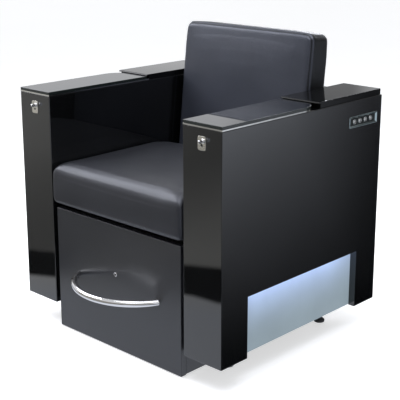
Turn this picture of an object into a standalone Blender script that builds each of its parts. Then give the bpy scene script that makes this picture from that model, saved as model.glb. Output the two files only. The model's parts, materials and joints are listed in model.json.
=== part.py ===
"""Pedicure spa chair: a lacquered armchair with swivelling arm tops and a pull-out foot bath.

Metres, +Z up, the sitter faces -Y. Left and right are as seen from the front, so right is +X.
The origin is at floor level, in the middle of the chair's outline.
"""
import math

import bmesh
import bpy
from mathutils import Matrix

# ---------------------------------------------------------------- driving dimensions

GAP = 0.0003                    # left between pieces that touch
SEAT_WIDTH = 0.560              # clear width between the arms
ARM_WIDTH = 0.140
ARM_FRONT = -0.305
ARM_REAR = 0.413
ARM_BOTTOM = 0.075              # the arms hang clear of the floor on hidden feet
ARM_TOP = 0.732
ARM_INNER = SEAT_WIDTH / 2
ARM_OUTER = ARM_INNER + ARM_WIDTH
WALL = 0.018
OUTER_WALL = 0.022
EDGE_ROUND = 0.0015

NOTCH_FRONT = -0.198            # low notch in the arm's outer side
NOTCH_REAR = 0.310
NOTCH_TOP = 0.257
LIGHT_PANEL_THICK = 0.006
LED_SIZE = (0.0145, 0.012)

PIVOT_X = 0.350                 # swivel top
PIVOT_Y = 0.0375
SWING_RADIUS = ARM_WIDTH / 2
PLATE_REAR = PIVOT_Y + SWING_RADIUS
GLASS_REAR = 0.0975             # the glass ends in front of the rear cap's lip
TOP_GAP = 0.0005
PLATE_THICK = 0.0037
GLASS_THICK = 0.0085
HUB_RADIUS = 0.015
HUB_DROP = 0.0163
PIN_RADIUS = 0.006
PIN_CLEARANCE = 0.0001

CAP_LIP_FRONT = 0.0985          # raised rear cap
CAP_BLOCK_FRONT = 0.1095
CAP_REAR = 0.409
CAP_INSET = 0.0035
CAP_TOP = 0.7505
CAP_LIP_THICK = 0.0047

WELL_FRONT = -0.255             # storage well in the arm's top
WELL_REAR = -0.045
WELL_HALF = 0.045
WELL_REBATE = 0.006
REBATE_DEPTH = 0.0025
TRAY_DEPTH = 0.062
TRAY_WALL = 0.002

LOCK_X = 0.349                  # lock plate and turn lever
LOCK_Z = 0.692
LOCK_PLATE = (0.028, 0.038, 0.0015)
LEVER_OFFSET = 0.007
LEVER_REACH = 0.024
TONGUE_LENGTH = 0.0355
TONGUE_HALF = 0.006
TONGUE_Y = (-0.2835, -0.2805)

FOOT_X = 0.306
FOOT_YS = (-0.150, 0.285)
FOOT_RADIUS = 0.017

PANEL_Y = 0.319                 # control panel on the right arm
PANEL_Z = 0.6675
PANEL_LENGTH = 0.141
PANEL_HEIGHT = 0.035
BEZEL_WIDTH = 0.006
PANEL_REBATE = 0.0073
CONTROL_BOX_HALF = (0.0600, 0.0123)
BUTTON_PITCH = 0.0275
BUTTON_RADIUS = 0.0075
BUTTON_STEM = 0.004
BUTTON_COUNT = 4

DECK_BOTTOM = 0.3885            # seat unit
DECK_TOP = 0.4045
DECK_FRONT = -0.270
REAR_PANEL = (0.375, 0.393)
SHELF_FRONT = 0.3522
GLAND_PLACE = (-0.200, 0.150)
GLAND_RADIUS = 0.0080
SEAT_CUSHION = ((-0.2765, -0.304, 0.4049), (0.2765, 0.2030, 0.528))
SEAT_EDGE = 0.036               # radius of its upper edges and upright corners
SEAT_BASE_EDGE = 0.014
BACK_HALF = (0.268, 0.0475, 0.252)
BACK_CENTRE = (0.0, 0.2836, 0.6643)
BACK_TILT = math.radians(6.5)
BACK_BOARD_THICK = 0.012

FRONT_Y = -0.301                # drawer
FRONT_THICK = 0.020
FRONT_HALF = 0.266
FRONT_Z = (0.003, 0.390)
SIDE_THICK = 0.015
DRAWER_REAR = 0.230
SIDE_Z = (0.006, 0.350)
FLOOR_Z = (0.056, 0.068)
HANDLE_HALF = 0.170
HANDLE_SAGITTA = 0.102
HANDLE_RADIUS = 0.010
HANDLE_Z = 0.200
DRAWER_LOCK_Z = 0.241
DRAWER_LOCK_RADIUS = 0.0065

SLIDE_Z = 0.235                 # telescopic slides in the gap beside the drawer
SLIDE_Y = (-0.278, 0.215)
SLIDE_SHEET = 0.0015

CASTOR_X = 0.200
CASTOR_Y = -0.215
WHEEL_RADIUS = 0.0218
WHEEL_HALF = 0.009
AXLE_Z = 0.022
AXLE_RADIUS = 0.004
AXLE_CLEARANCE = 0.0001

BASIN_RIM = 0.3553              # foot basin
BASIN_FLOOR = 0.135
BASIN_WALL = 0.004
BASIN_REAR = 0.122
DRAIN_Y = 0.007
DRAIN_RADIUS = 0.028

AXES = "XYZ"


# ---------------------------------------------------------------- scene and materials

def clear_scene():
    for obj in list(bpy.data.objects):
        bpy.data.objects.remove(obj, do_unlink=True)


def paint(name, colour, roughness, metallic=0.0, alpha=1.0, glow=0.0):
    """A Principled material; glow is its emission strength in its own colour."""
    material = bpy.data.materials.new(name)
    material.use_nodes = True
    shader = material.node_tree.nodes["Principled BSDF"]
    shader.inputs["Base Color"].default_value = (*colour, 1.0)
    shader.inputs["Roughness"].default_value = roughness
    shader.inputs["Metallic"].default_value = metallic
    shader.inputs["Alpha"].default_value = alpha
    shader.inputs["Emission Color"].default_value = (*colour, 1.0)
    shader.inputs["Emission Strength"].default_value = glow
    return material


def black_lacquer(name):
    return paint(name, (0.012, 0.012, 0.013), 0.06)


def black_plastic(name):
    return paint(name, (0.015, 0.015, 0.016), 0.4)


def black_glass(name):
    return paint(name, (0.006, 0.006, 0.007), 0.03)


def leather(name):
    return paint(name, (0.055, 0.06, 0.075), 0.42)


def chrome(name):
    return paint(name, (0.80, 0.80, 0.82), 0.08, metallic=1.0)


def brushed_steel(name):
    return paint(name, (0.58, 0.56, 0.50), 0.3, metallic=1.0)


def zinc_steel(name):
    return paint(name, (0.45, 0.46, 0.48), 0.38, metallic=1.0)


def black_board(name):
    return paint(name, (0.02, 0.02, 0.021), 0.55)


def white_acrylic(name):
    return paint(name, (0.86, 0.87, 0.88), 0.18)


def frosted_acrylic(name):
    return paint(name, (0.50, 0.64, 0.85), 0.45, glow=0.4)


def grey_rubber(name):
    return paint(name, (0.08, 0.08, 0.085), 0.75)


# ---------------------------------------------------------------- mesh helpers

def box_mesh(low, high):
    bm = bmesh.new()
    bmesh.ops.create_cube(bm, size=1.0)
    size = [top - bottom for bottom, top in zip(low, high)]
    centre = [(top + bottom) / 2 for bottom, top in zip(low, high)]
    bmesh.ops.scale(bm, vec=size, verts=bm.verts)
    bmesh.ops.translate(bm, vec=centre, verts=bm.verts)
    return bm


def mirrored_box(side, low, high):
    """A box given for the right-hand side, mirrored to the left when side is -1."""
    xs = sorted((side * low[0], side * high[0]))
    return box_mesh((xs[0], low[1], low[2]), (xs[1], high[1], high[2]))


def prism_mesh(outline, axis, start, end):
    """Extrude a closed outline along an axis; its points are in the other two axes, in order."""
    index = AXES.index(axis)
    bm = bmesh.new()
    verts = []
    for first, second in outline:
        place = [first, second]
        place.insert(index, start)
        verts.append(bm.verts.new(place))
    face = bm.faces.new(verts)
    moved = bmesh.ops.extrude_face_region(bm, geom=[face])
    step = [0.0, 0.0, 0.0]
    step[index] = end - start
    top = [item for item in moved["geom"] if isinstance(item, bmesh.types.BMVert)]
    bmesh.ops.translate(bm, vec=step, verts=top)
    bmesh.ops.recalc_face_normals(bm, faces=bm.faces)
    return bm


def arc(centre, radius, first, last, steps):
    """Points on an arc between two angles in degrees, both ends included."""
    points = []
    for step in range(steps + 1):
        angle = math.radians(first + (last - first) * step / steps)
        points.append((centre[0] + radius * math.cos(angle), centre[1] + radius * math.sin(angle)))
    return points


def rounded_rectangle(low, high, radius, steps=5):
    centres = ((high[0] - radius, high[1] - radius), (low[0] + radius, high[1] - radius),
               (low[0] + radius, low[1] + radius), (high[0] - radius, low[1] + radius))
    points = []
    for quarter, centre in enumerate(centres):
        points += arc(centre, radius, 90 * quarter, 90 * quarter + 90, steps)
    return points


def lathe_mesh(profile, axis="Z", centre=(0.0, 0.0, 0.0), segments=32):
    """Turn a profile of (radius, height) points about an axis through centre.

    The profile starts and ends on the axis, or returns to its first point for a ring.
    """
    bm = bmesh.new()
    verts = [bm.verts.new((radius, 0.0, height)) for radius, height in profile]
    pairs = list(zip(verts, verts[1:]))
    if profile[0][0] > 0.0:
        pairs.append((verts[-1], verts[0]))
    edges = [bm.edges.new(pair) for pair in pairs]
    bmesh.ops.spin(bm, geom=verts + edges, cent=(0, 0, 0), axis=(0, 0, 1),
                   angle=math.tau, steps=segments, use_merge=True)
    bmesh.ops.remove_doubles(bm, verts=bm.verts, dist=1e-6)
    turns = {"X": Matrix.Rotation(math.pi / 2, 4, "Y"),
             "Y": Matrix.Rotation(-math.pi / 2, 4, "X"),
             "Z": Matrix.Identity(4)}
    bmesh.ops.transform(bm, matrix=turns[axis], verts=bm.verts)
    bmesh.ops.translate(bm, vec=centre, verts=bm.verts)
    bmesh.ops.recalc_face_normals(bm, faces=bm.faces)
    return bm


def rod_mesh(axis, centre, radius, start, end, segments=24):
    """A plain cylinder between two heights on an axis; centre gives the other two coordinates."""
    place = [centre[0], centre[1]]
    place.insert(AXES.index(axis), 0.0)
    profile = [(0.0, start), (radius, start), (radius, end), (0.0, end)]
    return lathe_mesh(profile, axis, place, segments)


def skin_rings(bm, rings):
    """Join successive rings of vertices with quads, and close the first and the last."""
    count = len(rings[0])
    for lower, upper in zip(rings, rings[1:]):
        for index in range(count):
            after = (index + 1) % count
            bm.faces.new((lower[index], lower[after], upper[after], upper[index]))
    bm.faces.new(rings[0])
    bm.faces.new(rings[-1])
    bmesh.ops.recalc_face_normals(bm, faces=bm.faces)


def joint_empty(name, location, rotation=(0.0, 0.0, 0.0)):
    empty = bpy.data.objects.new(name, None)
    empty.location = location
    empty.rotation_euler = rotation
    bpy.context.scene.collection.objects.link(empty)
    return empty


def piece(name, bm, material, origin=(0.0, 0.0, 0.0), parent=None, smooth=False):
    """Make an object from a mesh drawn in its parent's frame, with the object's origin at origin."""
    bmesh.ops.translate(bm, vec=[-value for value in origin], verts=bm.verts)
    mesh = bpy.data.meshes.new(name)
    bm.to_mesh(mesh)
    bm.free()
    if smooth:
        mesh.shade_smooth()
        mesh.set_sharp_from_angle(angle=math.radians(35))
    mesh.materials.append(material)
    obj = bpy.data.objects.new(name, mesh)
    obj.location = origin
    obj.parent = parent
    bpy.context.scene.collection.objects.link(obj)
    return obj


def block(name, low, high, material, parent=None, bevel=0.0):
    """A board or block between two corners, with its edges eased by a Bevel modifier."""
    centre = [(top + bottom) / 2 for bottom, top in zip(low, high)]
    obj = piece(name, box_mesh(low, high), material, centre, parent)
    if bevel:
        ease_edges(obj, bevel)
    return obj


def ease_edges(obj, width, segments=2):
    modifier = obj.modifiers.new("eased_edges", "BEVEL")
    modifier.width = width
    modifier.segments = segments
    modifier.limit_method = "ANGLE"
    modifier.angle_limit = math.radians(50)


def combine(obj, bm, operation, parent=None):
    """Cut a mesh out of an object, or add it, through a Boolean modifier."""
    tool = piece(f"{operation.lower()}_{obj.name}", bm, obj.data.materials[0], parent=parent)
    tool.hide_render = True
    tool.display_type = "WIRE"
    modifier = obj.modifiers.new(operation.title(), "BOOLEAN")
    modifier.operation = operation
    modifier.solver = "EXACT"
    modifier.object = tool


def cut(obj, bm, parent=None):
    combine(obj, bm, "DIFFERENCE", parent)


def add(obj, bm, parent=None):
    combine(obj, bm, "UNION", parent)


def grid_block(half, radius, cells):
    """A rounded block with a grid of faces, centred on zero, ready for a soft form.

    The rows are spaced so that each rounded edge gets two steps.
    """
    bm = box_mesh([-value for value in half], half)
    for axis in range(3):
        inner = half[axis] - radius
        rows = [-inner + 2 * inner * step / cells[axis] for step in range(cells[axis] + 1)]
        rows += [inner + radius * math.tan(math.pi / 8), -inner - radius * math.tan(math.pi / 8)]
        for row in rows:
            point = [0.0, 0.0, 0.0]
            point[axis] = row
            normal = [0.0, 0.0, 0.0]
            normal[axis] = 1.0
            whole = bm.verts[:] + bm.edges[:] + bm.faces[:]
            bmesh.ops.bisect_plane(bm, geom=whole, plane_co=point, plane_no=normal, dist=1e-6)
    for vert in bm.verts:
        core = [max(-half[axis] + radius, min(half[axis] - radius, vert.co[axis])) for axis in range(3)]
        offset = [vert.co[axis] - core[axis] for axis in range(3)]
        length = math.sqrt(sum(value * value for value in offset))
        vert.co = [core[axis] + offset[axis] * radius / length for axis in range(3)]
    return bm


# ---------------------------------------------------------------- arms

def swivel_outline(side, hinge, rear):
    """Plan of a swivel top from its hinge: square at the front, one swung corner, cut off at rear."""
    last = math.degrees(math.asin(min(1.0, (rear - PIVOT_Y) / SWING_RADIUS)))
    points = [(ARM_INNER, ARM_FRONT), (ARM_OUTER, ARM_FRONT)]
    points += arc((PIVOT_X, PIVOT_Y), SWING_RADIUS, 0, last, 10)
    points.append((ARM_INNER, rear))
    return [(side * x - hinge.location.x, y - hinge.location.y) for x, y in points]


def lever_x(side):
    """The lever sits to the right of its plate's middle on both arms."""
    return side * LOCK_X + LEVER_OFFSET


def lever_z():
    return LOCK_Z + LEVER_OFFSET


def arm_shell(side, label):
    low = (side * (ARM_INNER + ARM_WIDTH / 2) - ARM_WIDTH / 2, ARM_FRONT, ARM_BOTTOM)
    high = (low[0] + ARM_WIDTH, ARM_REAR, ARM_TOP)
    shell = block(f"arm_shell_{label}", low, high, black_lacquer(f"arm_lacquer_{label}"), bevel=EDGE_ROUND)
    inner = ARM_INNER + WALL
    outer = ARM_OUTER - OUTER_WALL
    under = ARM_TOP - WALL
    cut(shell, mirrored_box(side, (inner, ARM_FRONT + WALL, ARM_BOTTOM - 0.01),
                            (outer, ARM_REAR - WALL, under)))
    cut(shell, mirrored_box(side, (outer - 0.01, NOTCH_FRONT, ARM_BOTTOM - 0.01),
                            (ARM_OUTER + 0.01, NOTCH_REAR, NOTCH_TOP)))
    well = ((PIVOT_X - WELL_HALF, WELL_FRONT), (PIVOT_X + WELL_HALF, WELL_REAR))
    rebate = tuple((x + sign * WELL_REBATE, y + sign * WELL_REBATE) for sign, (x, y) in zip((-1, 1), well))
    cut(shell, mirrored_box(side, (*well[0], under - 0.01), (*well[1], ARM_TOP + 0.01)))
    cut(shell, mirrored_box(side, (*rebate[0], ARM_TOP - REBATE_DEPTH), (*rebate[1], ARM_TOP + 0.01)))
    cut(shell, rod_mesh("Z", (side * PIVOT_X, PIVOT_Y), HUB_RADIUS + 0.001, under - 0.01, ARM_TOP + 0.01, 32))
    slot_low = (lever_x(side) - 0.010, TONGUE_Y[0] - 0.0015, under - 0.01)
    slot_high = (lever_x(side) + TONGUE_LENGTH + 0.003, TONGUE_Y[1] + 0.0015, ARM_TOP + 0.01)
    cut(shell, box_mesh(slot_low, slot_high))
    cut(shell, rod_mesh("Y", (lever_x(side), lever_z()), 0.0045, ARM_FRONT - 0.01, ARM_FRONT + WALL + 0.01))
    return shell


def arm_bottom(side, label):
    low = (ARM_INNER + WALL + GAP, ARM_FRONT + WALL + GAP, ARM_BOTTOM)
    high = (ARM_OUTER - OUTER_WALL - LIGHT_PANEL_THICK - 0.0015, ARM_REAR - WALL - GAP, ARM_BOTTOM + WALL)
    xs = sorted((side * low[0], side * high[0]))
    board = block(f"arm_bottom_{label}", (xs[0], *low[1:]), (xs[1], *high[1:]),
                  black_board(f"bottom_board_{label}"))
    for y in FOOT_YS:
        cut(board, rod_mesh("Z", (side * FOOT_X, y), 0.0043, ARM_BOTTOM - 0.01, ARM_BOTTOM + WALL + 0.01, 20))


def leveling_foot(name, x, y):
    """Pad with a threaded stem, screwed up into the bottom board."""
    profile = [(0.0, 0.0), (FOOT_RADIUS - 0.002, 0.0), (FOOT_RADIUS, 0.002), (FOOT_RADIUS, 0.008),
               (0.009, 0.014), (0.009, 0.022), (0.004, 0.024), (0.004, ARM_BOTTOM + 0.016),
               (0.0, ARM_BOTTOM + 0.016)]
    bm = lathe_mesh(profile, "Z", (x, y, 0.0), 18)
    piece(name, bm, grey_rubber(f"{name}_rubber"), (x, y, 0.0), smooth=True)


def storage_tray(side, label):
    """Moulded tray that hangs by its flange in the rebate of the well."""
    centre = (side * PIVOT_X, (WELL_FRONT + WELL_REAR) / 2)
    half = (WELL_HALF, (WELL_REAR - WELL_FRONT) / 2)
    flange_low = ARM_TOP - REBATE_DEPTH + GAP
    flange_top = ARM_TOP - GAP
    base = flange_top - TRAY_DEPTH
    # (inset from the well's edge, height, corner radius), up the outside and down the inside
    stages = [(0.008, base, 0.006), (0.006, base + 0.002, 0.007), (0.0007, flange_low, 0.004),
              (-WELL_REBATE + 0.0006, flange_low, 0.004), (-WELL_REBATE + 0.0006, flange_top, 0.004),
              (0.0007 + TRAY_WALL, flange_top, 0.003), (0.006 + TRAY_WALL, base + 0.006, 0.005),
              (0.010 + TRAY_WALL, base + TRAY_WALL, 0.004)]
    bm = bmesh.new()
    rings = []
    for inset, height, radius in stages:
        low = (centre[0] - half[0] + inset, centre[1] - half[1] + inset)
        high = (centre[0] + half[0] - inset, centre[1] + half[1] - inset)
        rings.append([bm.verts.new((x, y, height)) for x, y in rounded_rectangle(low, high, radius, 3)])
    skin_rings(bm, rings)
    piece(f"storage_tray_{label}", bm, black_plastic(f"tray_plastic_{label}"), (*centre, base), smooth=True)


def light_panel(side, label):
    outer = ARM_OUTER - OUTER_WALL - GAP
    low = (outer - LIGHT_PANEL_THICK, NOTCH_FRONT - 0.015, ARM_BOTTOM + 0.002)
    high = (outer, NOTCH_REAR + 0.015, NOTCH_TOP + 0.015)
    xs = sorted((side * low[0], side * high[0]))
    block(f"light_panel_{label}", (xs[0], *low[1:]), (xs[1], *high[1:]), frosted_acrylic(f"frosted_{label}"))


def led_profile(side, label):
    """Aluminium channel over the light panel's top edge, open downwards."""
    width, height = LED_SIZE
    outer = ARM_OUTER - OUTER_WALL - GAP
    base = NOTCH_TOP + 0.015 + GAP
    sheet = 0.0015
    outline = [(outer, base), (outer, base + height), (outer - width, base + height), (outer - width, base),
               (outer - width + sheet, base), (outer - width + sheet, base + height - 2 * sheet),
               (outer - sheet, base + height - 2 * sheet), (outer - sheet, base)]
    bm = prism_mesh([(side * x, z) for x, z in outline], "Y", NOTCH_FRONT - 0.010, NOTCH_REAR + 0.010)
    piece(f"led_profile_{label}", bm, zinc_steel(f"led_aluminium_{label}"), (side * outer, NOTCH_FRONT, base))


def pivot_post(side, label):
    """Flanged steel pin, bolted up under the arm's top; the hub of the swivel plate turns on it."""
    under = ARM_TOP - WALL - GAP
    hub_bottom = ARM_TOP + TOP_GAP - HUB_DROP
    tip = ARM_TOP + TOP_GAP + 0.0020
    profile = [(0.0, under - 0.004), (0.022, under - 0.004), (0.022, under), (0.012, under),
               (0.012, hub_bottom - GAP), (PIN_RADIUS, hub_bottom - GAP), (PIN_RADIUS, tip - 0.001),
               (PIN_RADIUS - 0.001, tip), (0.0, tip)]
    centre = (side * PIVOT_X, PIVOT_Y, 0.0)
    piece(f"pivot_post_{label}", lathe_mesh(profile, "Z", centre), zinc_steel(f"post_steel_{label}"),
          (*centre[:2], under), smooth=True)


def swivel_plate(side, label, hinge):
    """Bright plate with a turned hub below, a blind bore for the post and a pocket for the lock's tongue."""
    base = ARM_TOP + TOP_GAP
    outline = swivel_outline(side, hinge, PLATE_REAR)
    plate = piece(f"swivel_plate_{label}", prism_mesh(outline, "Z", base, base + PLATE_THICK),
                  brushed_steel(f"swivel_steel_{label}"), parent=hinge)
    add(plate, rod_mesh("Z", (0, 0), HUB_RADIUS, base - HUB_DROP, base + PLATE_THICK / 2, 32), hinge)
    bore = PIN_RADIUS + PIN_CLEARANCE
    cut(plate, rod_mesh("Z", (0, 0), bore, base - HUB_DROP - 0.01, base + 0.0025, 32), hinge)
    pocket_x = lever_x(side) - hinge.location.x
    pocket_y = [y - hinge.location.y for y in TONGUE_Y]
    cut(plate, box_mesh((pocket_x - 0.008, pocket_y[0] - 0.0015, base - 0.01),
                        (pocket_x + 0.024, pocket_y[1] + 0.0015, base + 0.0026)), hinge)


def swivel_top(side, label, hinge):
    """Glass top, glued on its plate; it ends clear of the rear cap's lip, so its whole face is open."""
    base = ARM_TOP + TOP_GAP + PLATE_THICK + GAP
    outline = swivel_outline(side, hinge, GLASS_REAR)
    top = piece(f"swivel_top_{label}", prism_mesh(outline, "Z", base, base + GLASS_THICK),
                black_glass(f"top_glass_{label}"), parent=hinge)
    ease_edges(top, 0.0009, 1)


def rear_cap(side, label):
    """Fixed cap over the rear of the arm; its front lip covers the rear end of the swivel plate."""
    base = ARM_TOP + GAP
    lip = CAP_TOP - CAP_LIP_THICK
    outline = [(CAP_BLOCK_FRONT, base), (CAP_REAR, base), (CAP_REAR, CAP_TOP), (CAP_LIP_FRONT, CAP_TOP),
               (CAP_LIP_FRONT, lip), (CAP_BLOCK_FRONT, lip)]
    bm = prism_mesh(outline, "X", side * (ARM_INNER + 0.0005), side * (ARM_OUTER - CAP_INSET))
    cap = piece(f"rear_cap_{label}", bm, black_lacquer(f"cap_lacquer_{label}"),
                (side * (ARM_INNER + ARM_WIDTH / 2), CAP_REAR, base))
    ease_edges(cap, 0.0009, 1)


def lock_plate(side, label):
    width, height, thick = LOCK_PLATE
    centre = (side * LOCK_X, LOCK_Z)
    outline = rounded_rectangle((centre[0] - width / 2, centre[1] - height / 2),
                                (centre[0] + width / 2, centre[1] + height / 2), 0.006)
    face = ARM_FRONT - GAP
    plate = piece(f"lock_plate_{label}", prism_mesh(outline, "Y", face - thick, face),
                  brushed_steel(f"lock_plate_steel_{label}"), (centre[0], face, centre[1]))
    cut(plate, rod_mesh("Y", (lever_x(side), lever_z()), 0.0045, face - 0.01, face + 0.01))
    cut(plate, rod_mesh("Y", (centre[0], centre[1] - 0.006), 0.0042, face - 0.01, face + 0.01))


def lock_lever(side, label):
    """Turn lever: flattened grip on a spindle, with a round-ended tongue inside the arm."""
    axis_x = lever_x(side)
    axis_z = lever_z()
    hinge = joint_empty(f"lock_lever_{label}_axis", (axis_x, ARM_FRONT, axis_z))
    tongue_rear = TONGUE_Y[1] - ARM_FRONT
    profile = [(0.0, 0.006 - LEVER_REACH), (0.0030, 0.006 - LEVER_REACH), (0.0030, -0.006), (0.0065, -0.0045),
               (0.0065, -0.0023), (0.0041, -0.0023), (0.0041, tongue_rear), (0.0, tongue_rear)]
    bm = lathe_mesh(profile, "Y", segments=20)
    lever = piece(f"lock_lever_{label}", bm, chrome(f"lever_chrome_{label}"), parent=hinge, smooth=True)
    grip = rounded_rectangle((-0.0045, -LEVER_REACH), (0.0045, 0.011 - LEVER_REACH), 0.0035, 4)
    grip_mesh = prism_mesh([(y, z) for z, y in grip], "X", -0.0024, 0.0024)
    add(lever, grip_mesh, hinge)
    end = TONGUE_LENGTH - TONGUE_HALF
    tongue = arc((end, 0.0), TONGUE_HALF, -90, 90, 8) + arc((0.0, 0.0), TONGUE_HALF, 90, 270, 8)
    add(lever, prism_mesh(tongue, "Y", TONGUE_Y[0] - ARM_FRONT, TONGUE_Y[1] - ARM_FRONT), hinge)


def build_arm(side, label):
    shell = arm_shell(side, label)
    arm_bottom(side, label)
    for place, y in zip(("front", "rear"), FOOT_YS):
        leveling_foot(f"foot_{place}_{label}", side * FOOT_X, y)
    storage_tray(side, label)
    light_panel(side, label)
    led_profile(side, label)
    pivot_post(side, label)
    hinge = joint_empty(f"swivel_top_{label}_axis", (side * PIVOT_X, PIVOT_Y, 0.0))
    swivel_plate(side, label, hinge)
    swivel_top(side, label, hinge)
    rear_cap(side, label)
    lock_plate(side, label)
    lock_lever(side, label)
    return shell


# ---------------------------------------------------------------- control panel

def button_ys():
    first = PANEL_Y - BUTTON_PITCH * (BUTTON_COUNT - 1) / 2
    return [first + BUTTON_PITCH * number for number in range(BUTTON_COUNT)]


def panel_box(half_length, half_height, low, high):
    return box_mesh((low, PANEL_Y - half_length, PANEL_Z - half_height),
                    (high, PANEL_Y + half_length, PANEL_Z + half_height))


def control_panel(shell):
    half_length = PANEL_LENGTH / 2
    half_height = PANEL_HEIGHT / 2
    rebate = ARM_OUTER - PANEL_REBATE
    cut(shell, panel_box(half_length + GAP, half_height + GAP, rebate, ARM_OUTER + 0.01))
    opening = [value + 0.0005 for value in CONTROL_BOX_HALF]
    cut(shell, panel_box(*opening, ARM_OUTER - OUTER_WALL - 0.01, ARM_OUTER))

    # (x, inset) of the rings round the bevelled bezel, from the back outside to the back inside
    back = ARM_OUTER - 0.0035
    stages = [(back, 0.0), (ARM_OUTER + 0.0002, 0.0), (ARM_OUTER + 0.0010, 0.0012),
              (ARM_OUTER + 0.0006, 0.0024), (back + 0.0012, BEZEL_WIDTH), (back, BEZEL_WIDTH)]
    bm = bmesh.new()
    rings = []
    for x, inset in stages:
        length = half_length - inset
        height = half_height - inset
        corners = ((-length, -height), (length, -height), (length, height), (-length, height))
        rings.append([bm.verts.new((x, PANEL_Y + y, PANEL_Z + z)) for y, z in corners])
    for first, second in zip(rings, rings[1:] + rings[:1]):
        for index in range(4):
            after = (index + 1) % 4
            bm.faces.new((first[index], first[after], second[after], second[index]))
    bmesh.ops.recalc_face_normals(bm, faces=bm.faces)
    piece("control_bezel", bm, chrome("bezel_chrome"), (back, PANEL_Y, PANEL_Z))

    face = back - GAP
    plate = piece("control_plate", panel_box(half_length - GAP, half_height - GAP, rebate + GAP, face),
                  black_glass("control_plate_black"), (face, PANEL_Y, PANEL_Z))
    box_front = rebate
    box = piece("control_box", panel_box(*CONTROL_BOX_HALF, ARM_OUTER - 0.040, box_front),
                black_plastic("control_box_plastic"), (box_front, PANEL_Y, PANEL_Z))
    for number, y in enumerate(button_ys(), 1):
        cut(plate, rod_mesh("X", (y, PANEL_Z), BUTTON_RADIUS + 0.0003, rebate - 0.01, face + 0.01))
        cut(box, rod_mesh("X", (y, PANEL_Z), BUTTON_STEM + 0.0003, box_front - 0.010, box_front + 0.01, 16))
        button(number, y, box_front, face)


def button(number, y, box_front, face):
    """Domed cap on a stem; it rests 2.5 mm clear of the box so that it can travel."""
    base = box_front + 0.0028
    top = face + 0.0022
    profile = [(0.0, box_front - 0.0060), (BUTTON_STEM, box_front - 0.0060), (BUTTON_STEM, base),
               (BUTTON_RADIUS, base), (BUTTON_RADIUS, top - 0.0012), (BUTTON_RADIUS - 0.0012, top - 0.0003),
               (0.0, top)]
    bm = lathe_mesh(profile, "X", (0.0, y, PANEL_Z), 24)
    piece(f"button_{number}", bm, brushed_steel(f"button_silver_{number}"), (top, y, PANEL_Z), smooth=True)


# ---------------------------------------------------------------- seat unit

def tighten_base(bm, half, radius, small):
    """Give the lower edges of a rounded block a smaller radius than the rest."""
    for vert in bm.verts:
        drop = radius - half[2] - vert.co.z
        if drop < 1e-6:
            continue
        core = [max(radius - half[axis], min(half[axis] - radius, vert.co[axis])) for axis in range(2)]
        out = [vert.co[axis] - core[axis] for axis in range(2)]
        reach = math.hypot(*out)
        if reach > 1e-6:
            wanted = radius - small + small * reach / radius
            vert.co.x = core[0] + out[0] * wanted / reach
            vert.co.y = core[1] + out[1] * wanted / reach
        vert.co.z = small * (1 - drop / radius) - half[2]


def seat_cushion():
    """Crowned seat cushion, square along its base, whose sides draw in towards the corners."""
    low, high = SEAT_CUSHION
    half = [(top - bottom) / 2 for bottom, top in zip(low, high)]
    centre = [(top + bottom) / 2 for bottom, top in zip(low, high)]
    bm = grid_block(half, SEAT_EDGE, (10, 9, 2))
    tighten_base(bm, half, SEAT_EDGE, SEAT_BASE_EDGE)
    for vert in bm.verts:
        across = vert.co.x / half[0]
        along = vert.co.y / half[1]
        level = vert.co.z / half[2]
        middle_x = max(0.0, 1 - across * across)
        middle_y = max(0.0, 1 - along * along)
        if level > 0:
            vert.co.z += 0.016 * level * (middle_x * middle_y) ** 0.5
        vert.co.x *= 1 - 0.010 * (1 - middle_y)
        vert.co.y *= 1 - 0.012 * (1 - middle_x)
    bmesh.ops.translate(bm, vec=centre, verts=bm.verts)
    piece("seat_cushion", bm, leather("seat_leather"), (centre[0], centre[1], low[2]), smooth=True)


def back_cushion(tilt):
    """Boxed back cushion: crowned front panel, straight boxing, rounded upper corners."""
    half = BACK_HALF
    bm = grid_block(half, 0.016, (9, 2, 9))
    corner = 0.030
    for vert in bm.verts:
        across = vert.co.x / half[0]
        up = vert.co.z / half[2]
        middle = max(0.0, 1 - across * across) * max(0.0, 1 - up * up)
        if vert.co.y < 0:
            vert.co.y -= 0.009 * middle ** 0.6 * -vert.co.y / half[1]
        over_x = abs(vert.co.x) - (half[0] - corner)
        over_z = abs(vert.co.z) - (half[2] - corner)
        if over_x > 0 and over_z > 0:
            reach = math.hypot(over_x, over_z)
            shrink = max(over_x, over_z) / reach
            vert.co.x = math.copysign(half[0] - corner + over_x * shrink, vert.co.x)
            vert.co.z = math.copysign(half[2] - corner + over_z * shrink, vert.co.z)
    piece("back_cushion", bm, leather("back_leather"), parent=tilt, smooth=True)


def build_seat_unit():
    inner = ARM_INNER - GAP
    block("seat_deck", (-inner, DECK_FRONT, DECK_BOTTOM), (inner, REAR_PANEL[0] - GAP, DECK_TOP),
          black_board("deck_board"))
    panel = block("rear_panel", (-inner, REAR_PANEL[0], 0.085), (inner, REAR_PANEL[1], ARM_TOP - WALL - GAP),
                  black_lacquer("rear_panel_lacquer"))
    cut(panel, rod_mesh("Y", GLAND_PLACE, GLAND_RADIUS + GAP, REAR_PANEL[0] - 0.01, REAR_PANEL[1] + 0.01))
    cable_gland()
    block("rear_shelf", (-inner, SHELF_FRONT, ARM_TOP - WALL), (inner, CAP_REAR, ARM_TOP),
          black_lacquer("shelf_lacquer"), bevel=0.001)
    seat_cushion()
    tilt = joint_empty("back_tilt", BACK_CENTRE, (-BACK_TILT, 0.0, 0.0))
    back_cushion(tilt)
    rear = BACK_HALF[1] + GAP
    block("back_board", (-0.245, rear, -0.245), (0.245, rear + BACK_BOARD_THICK, 0.215),
          black_board("back_board_black"), parent=tilt, bevel=0.002)


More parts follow.
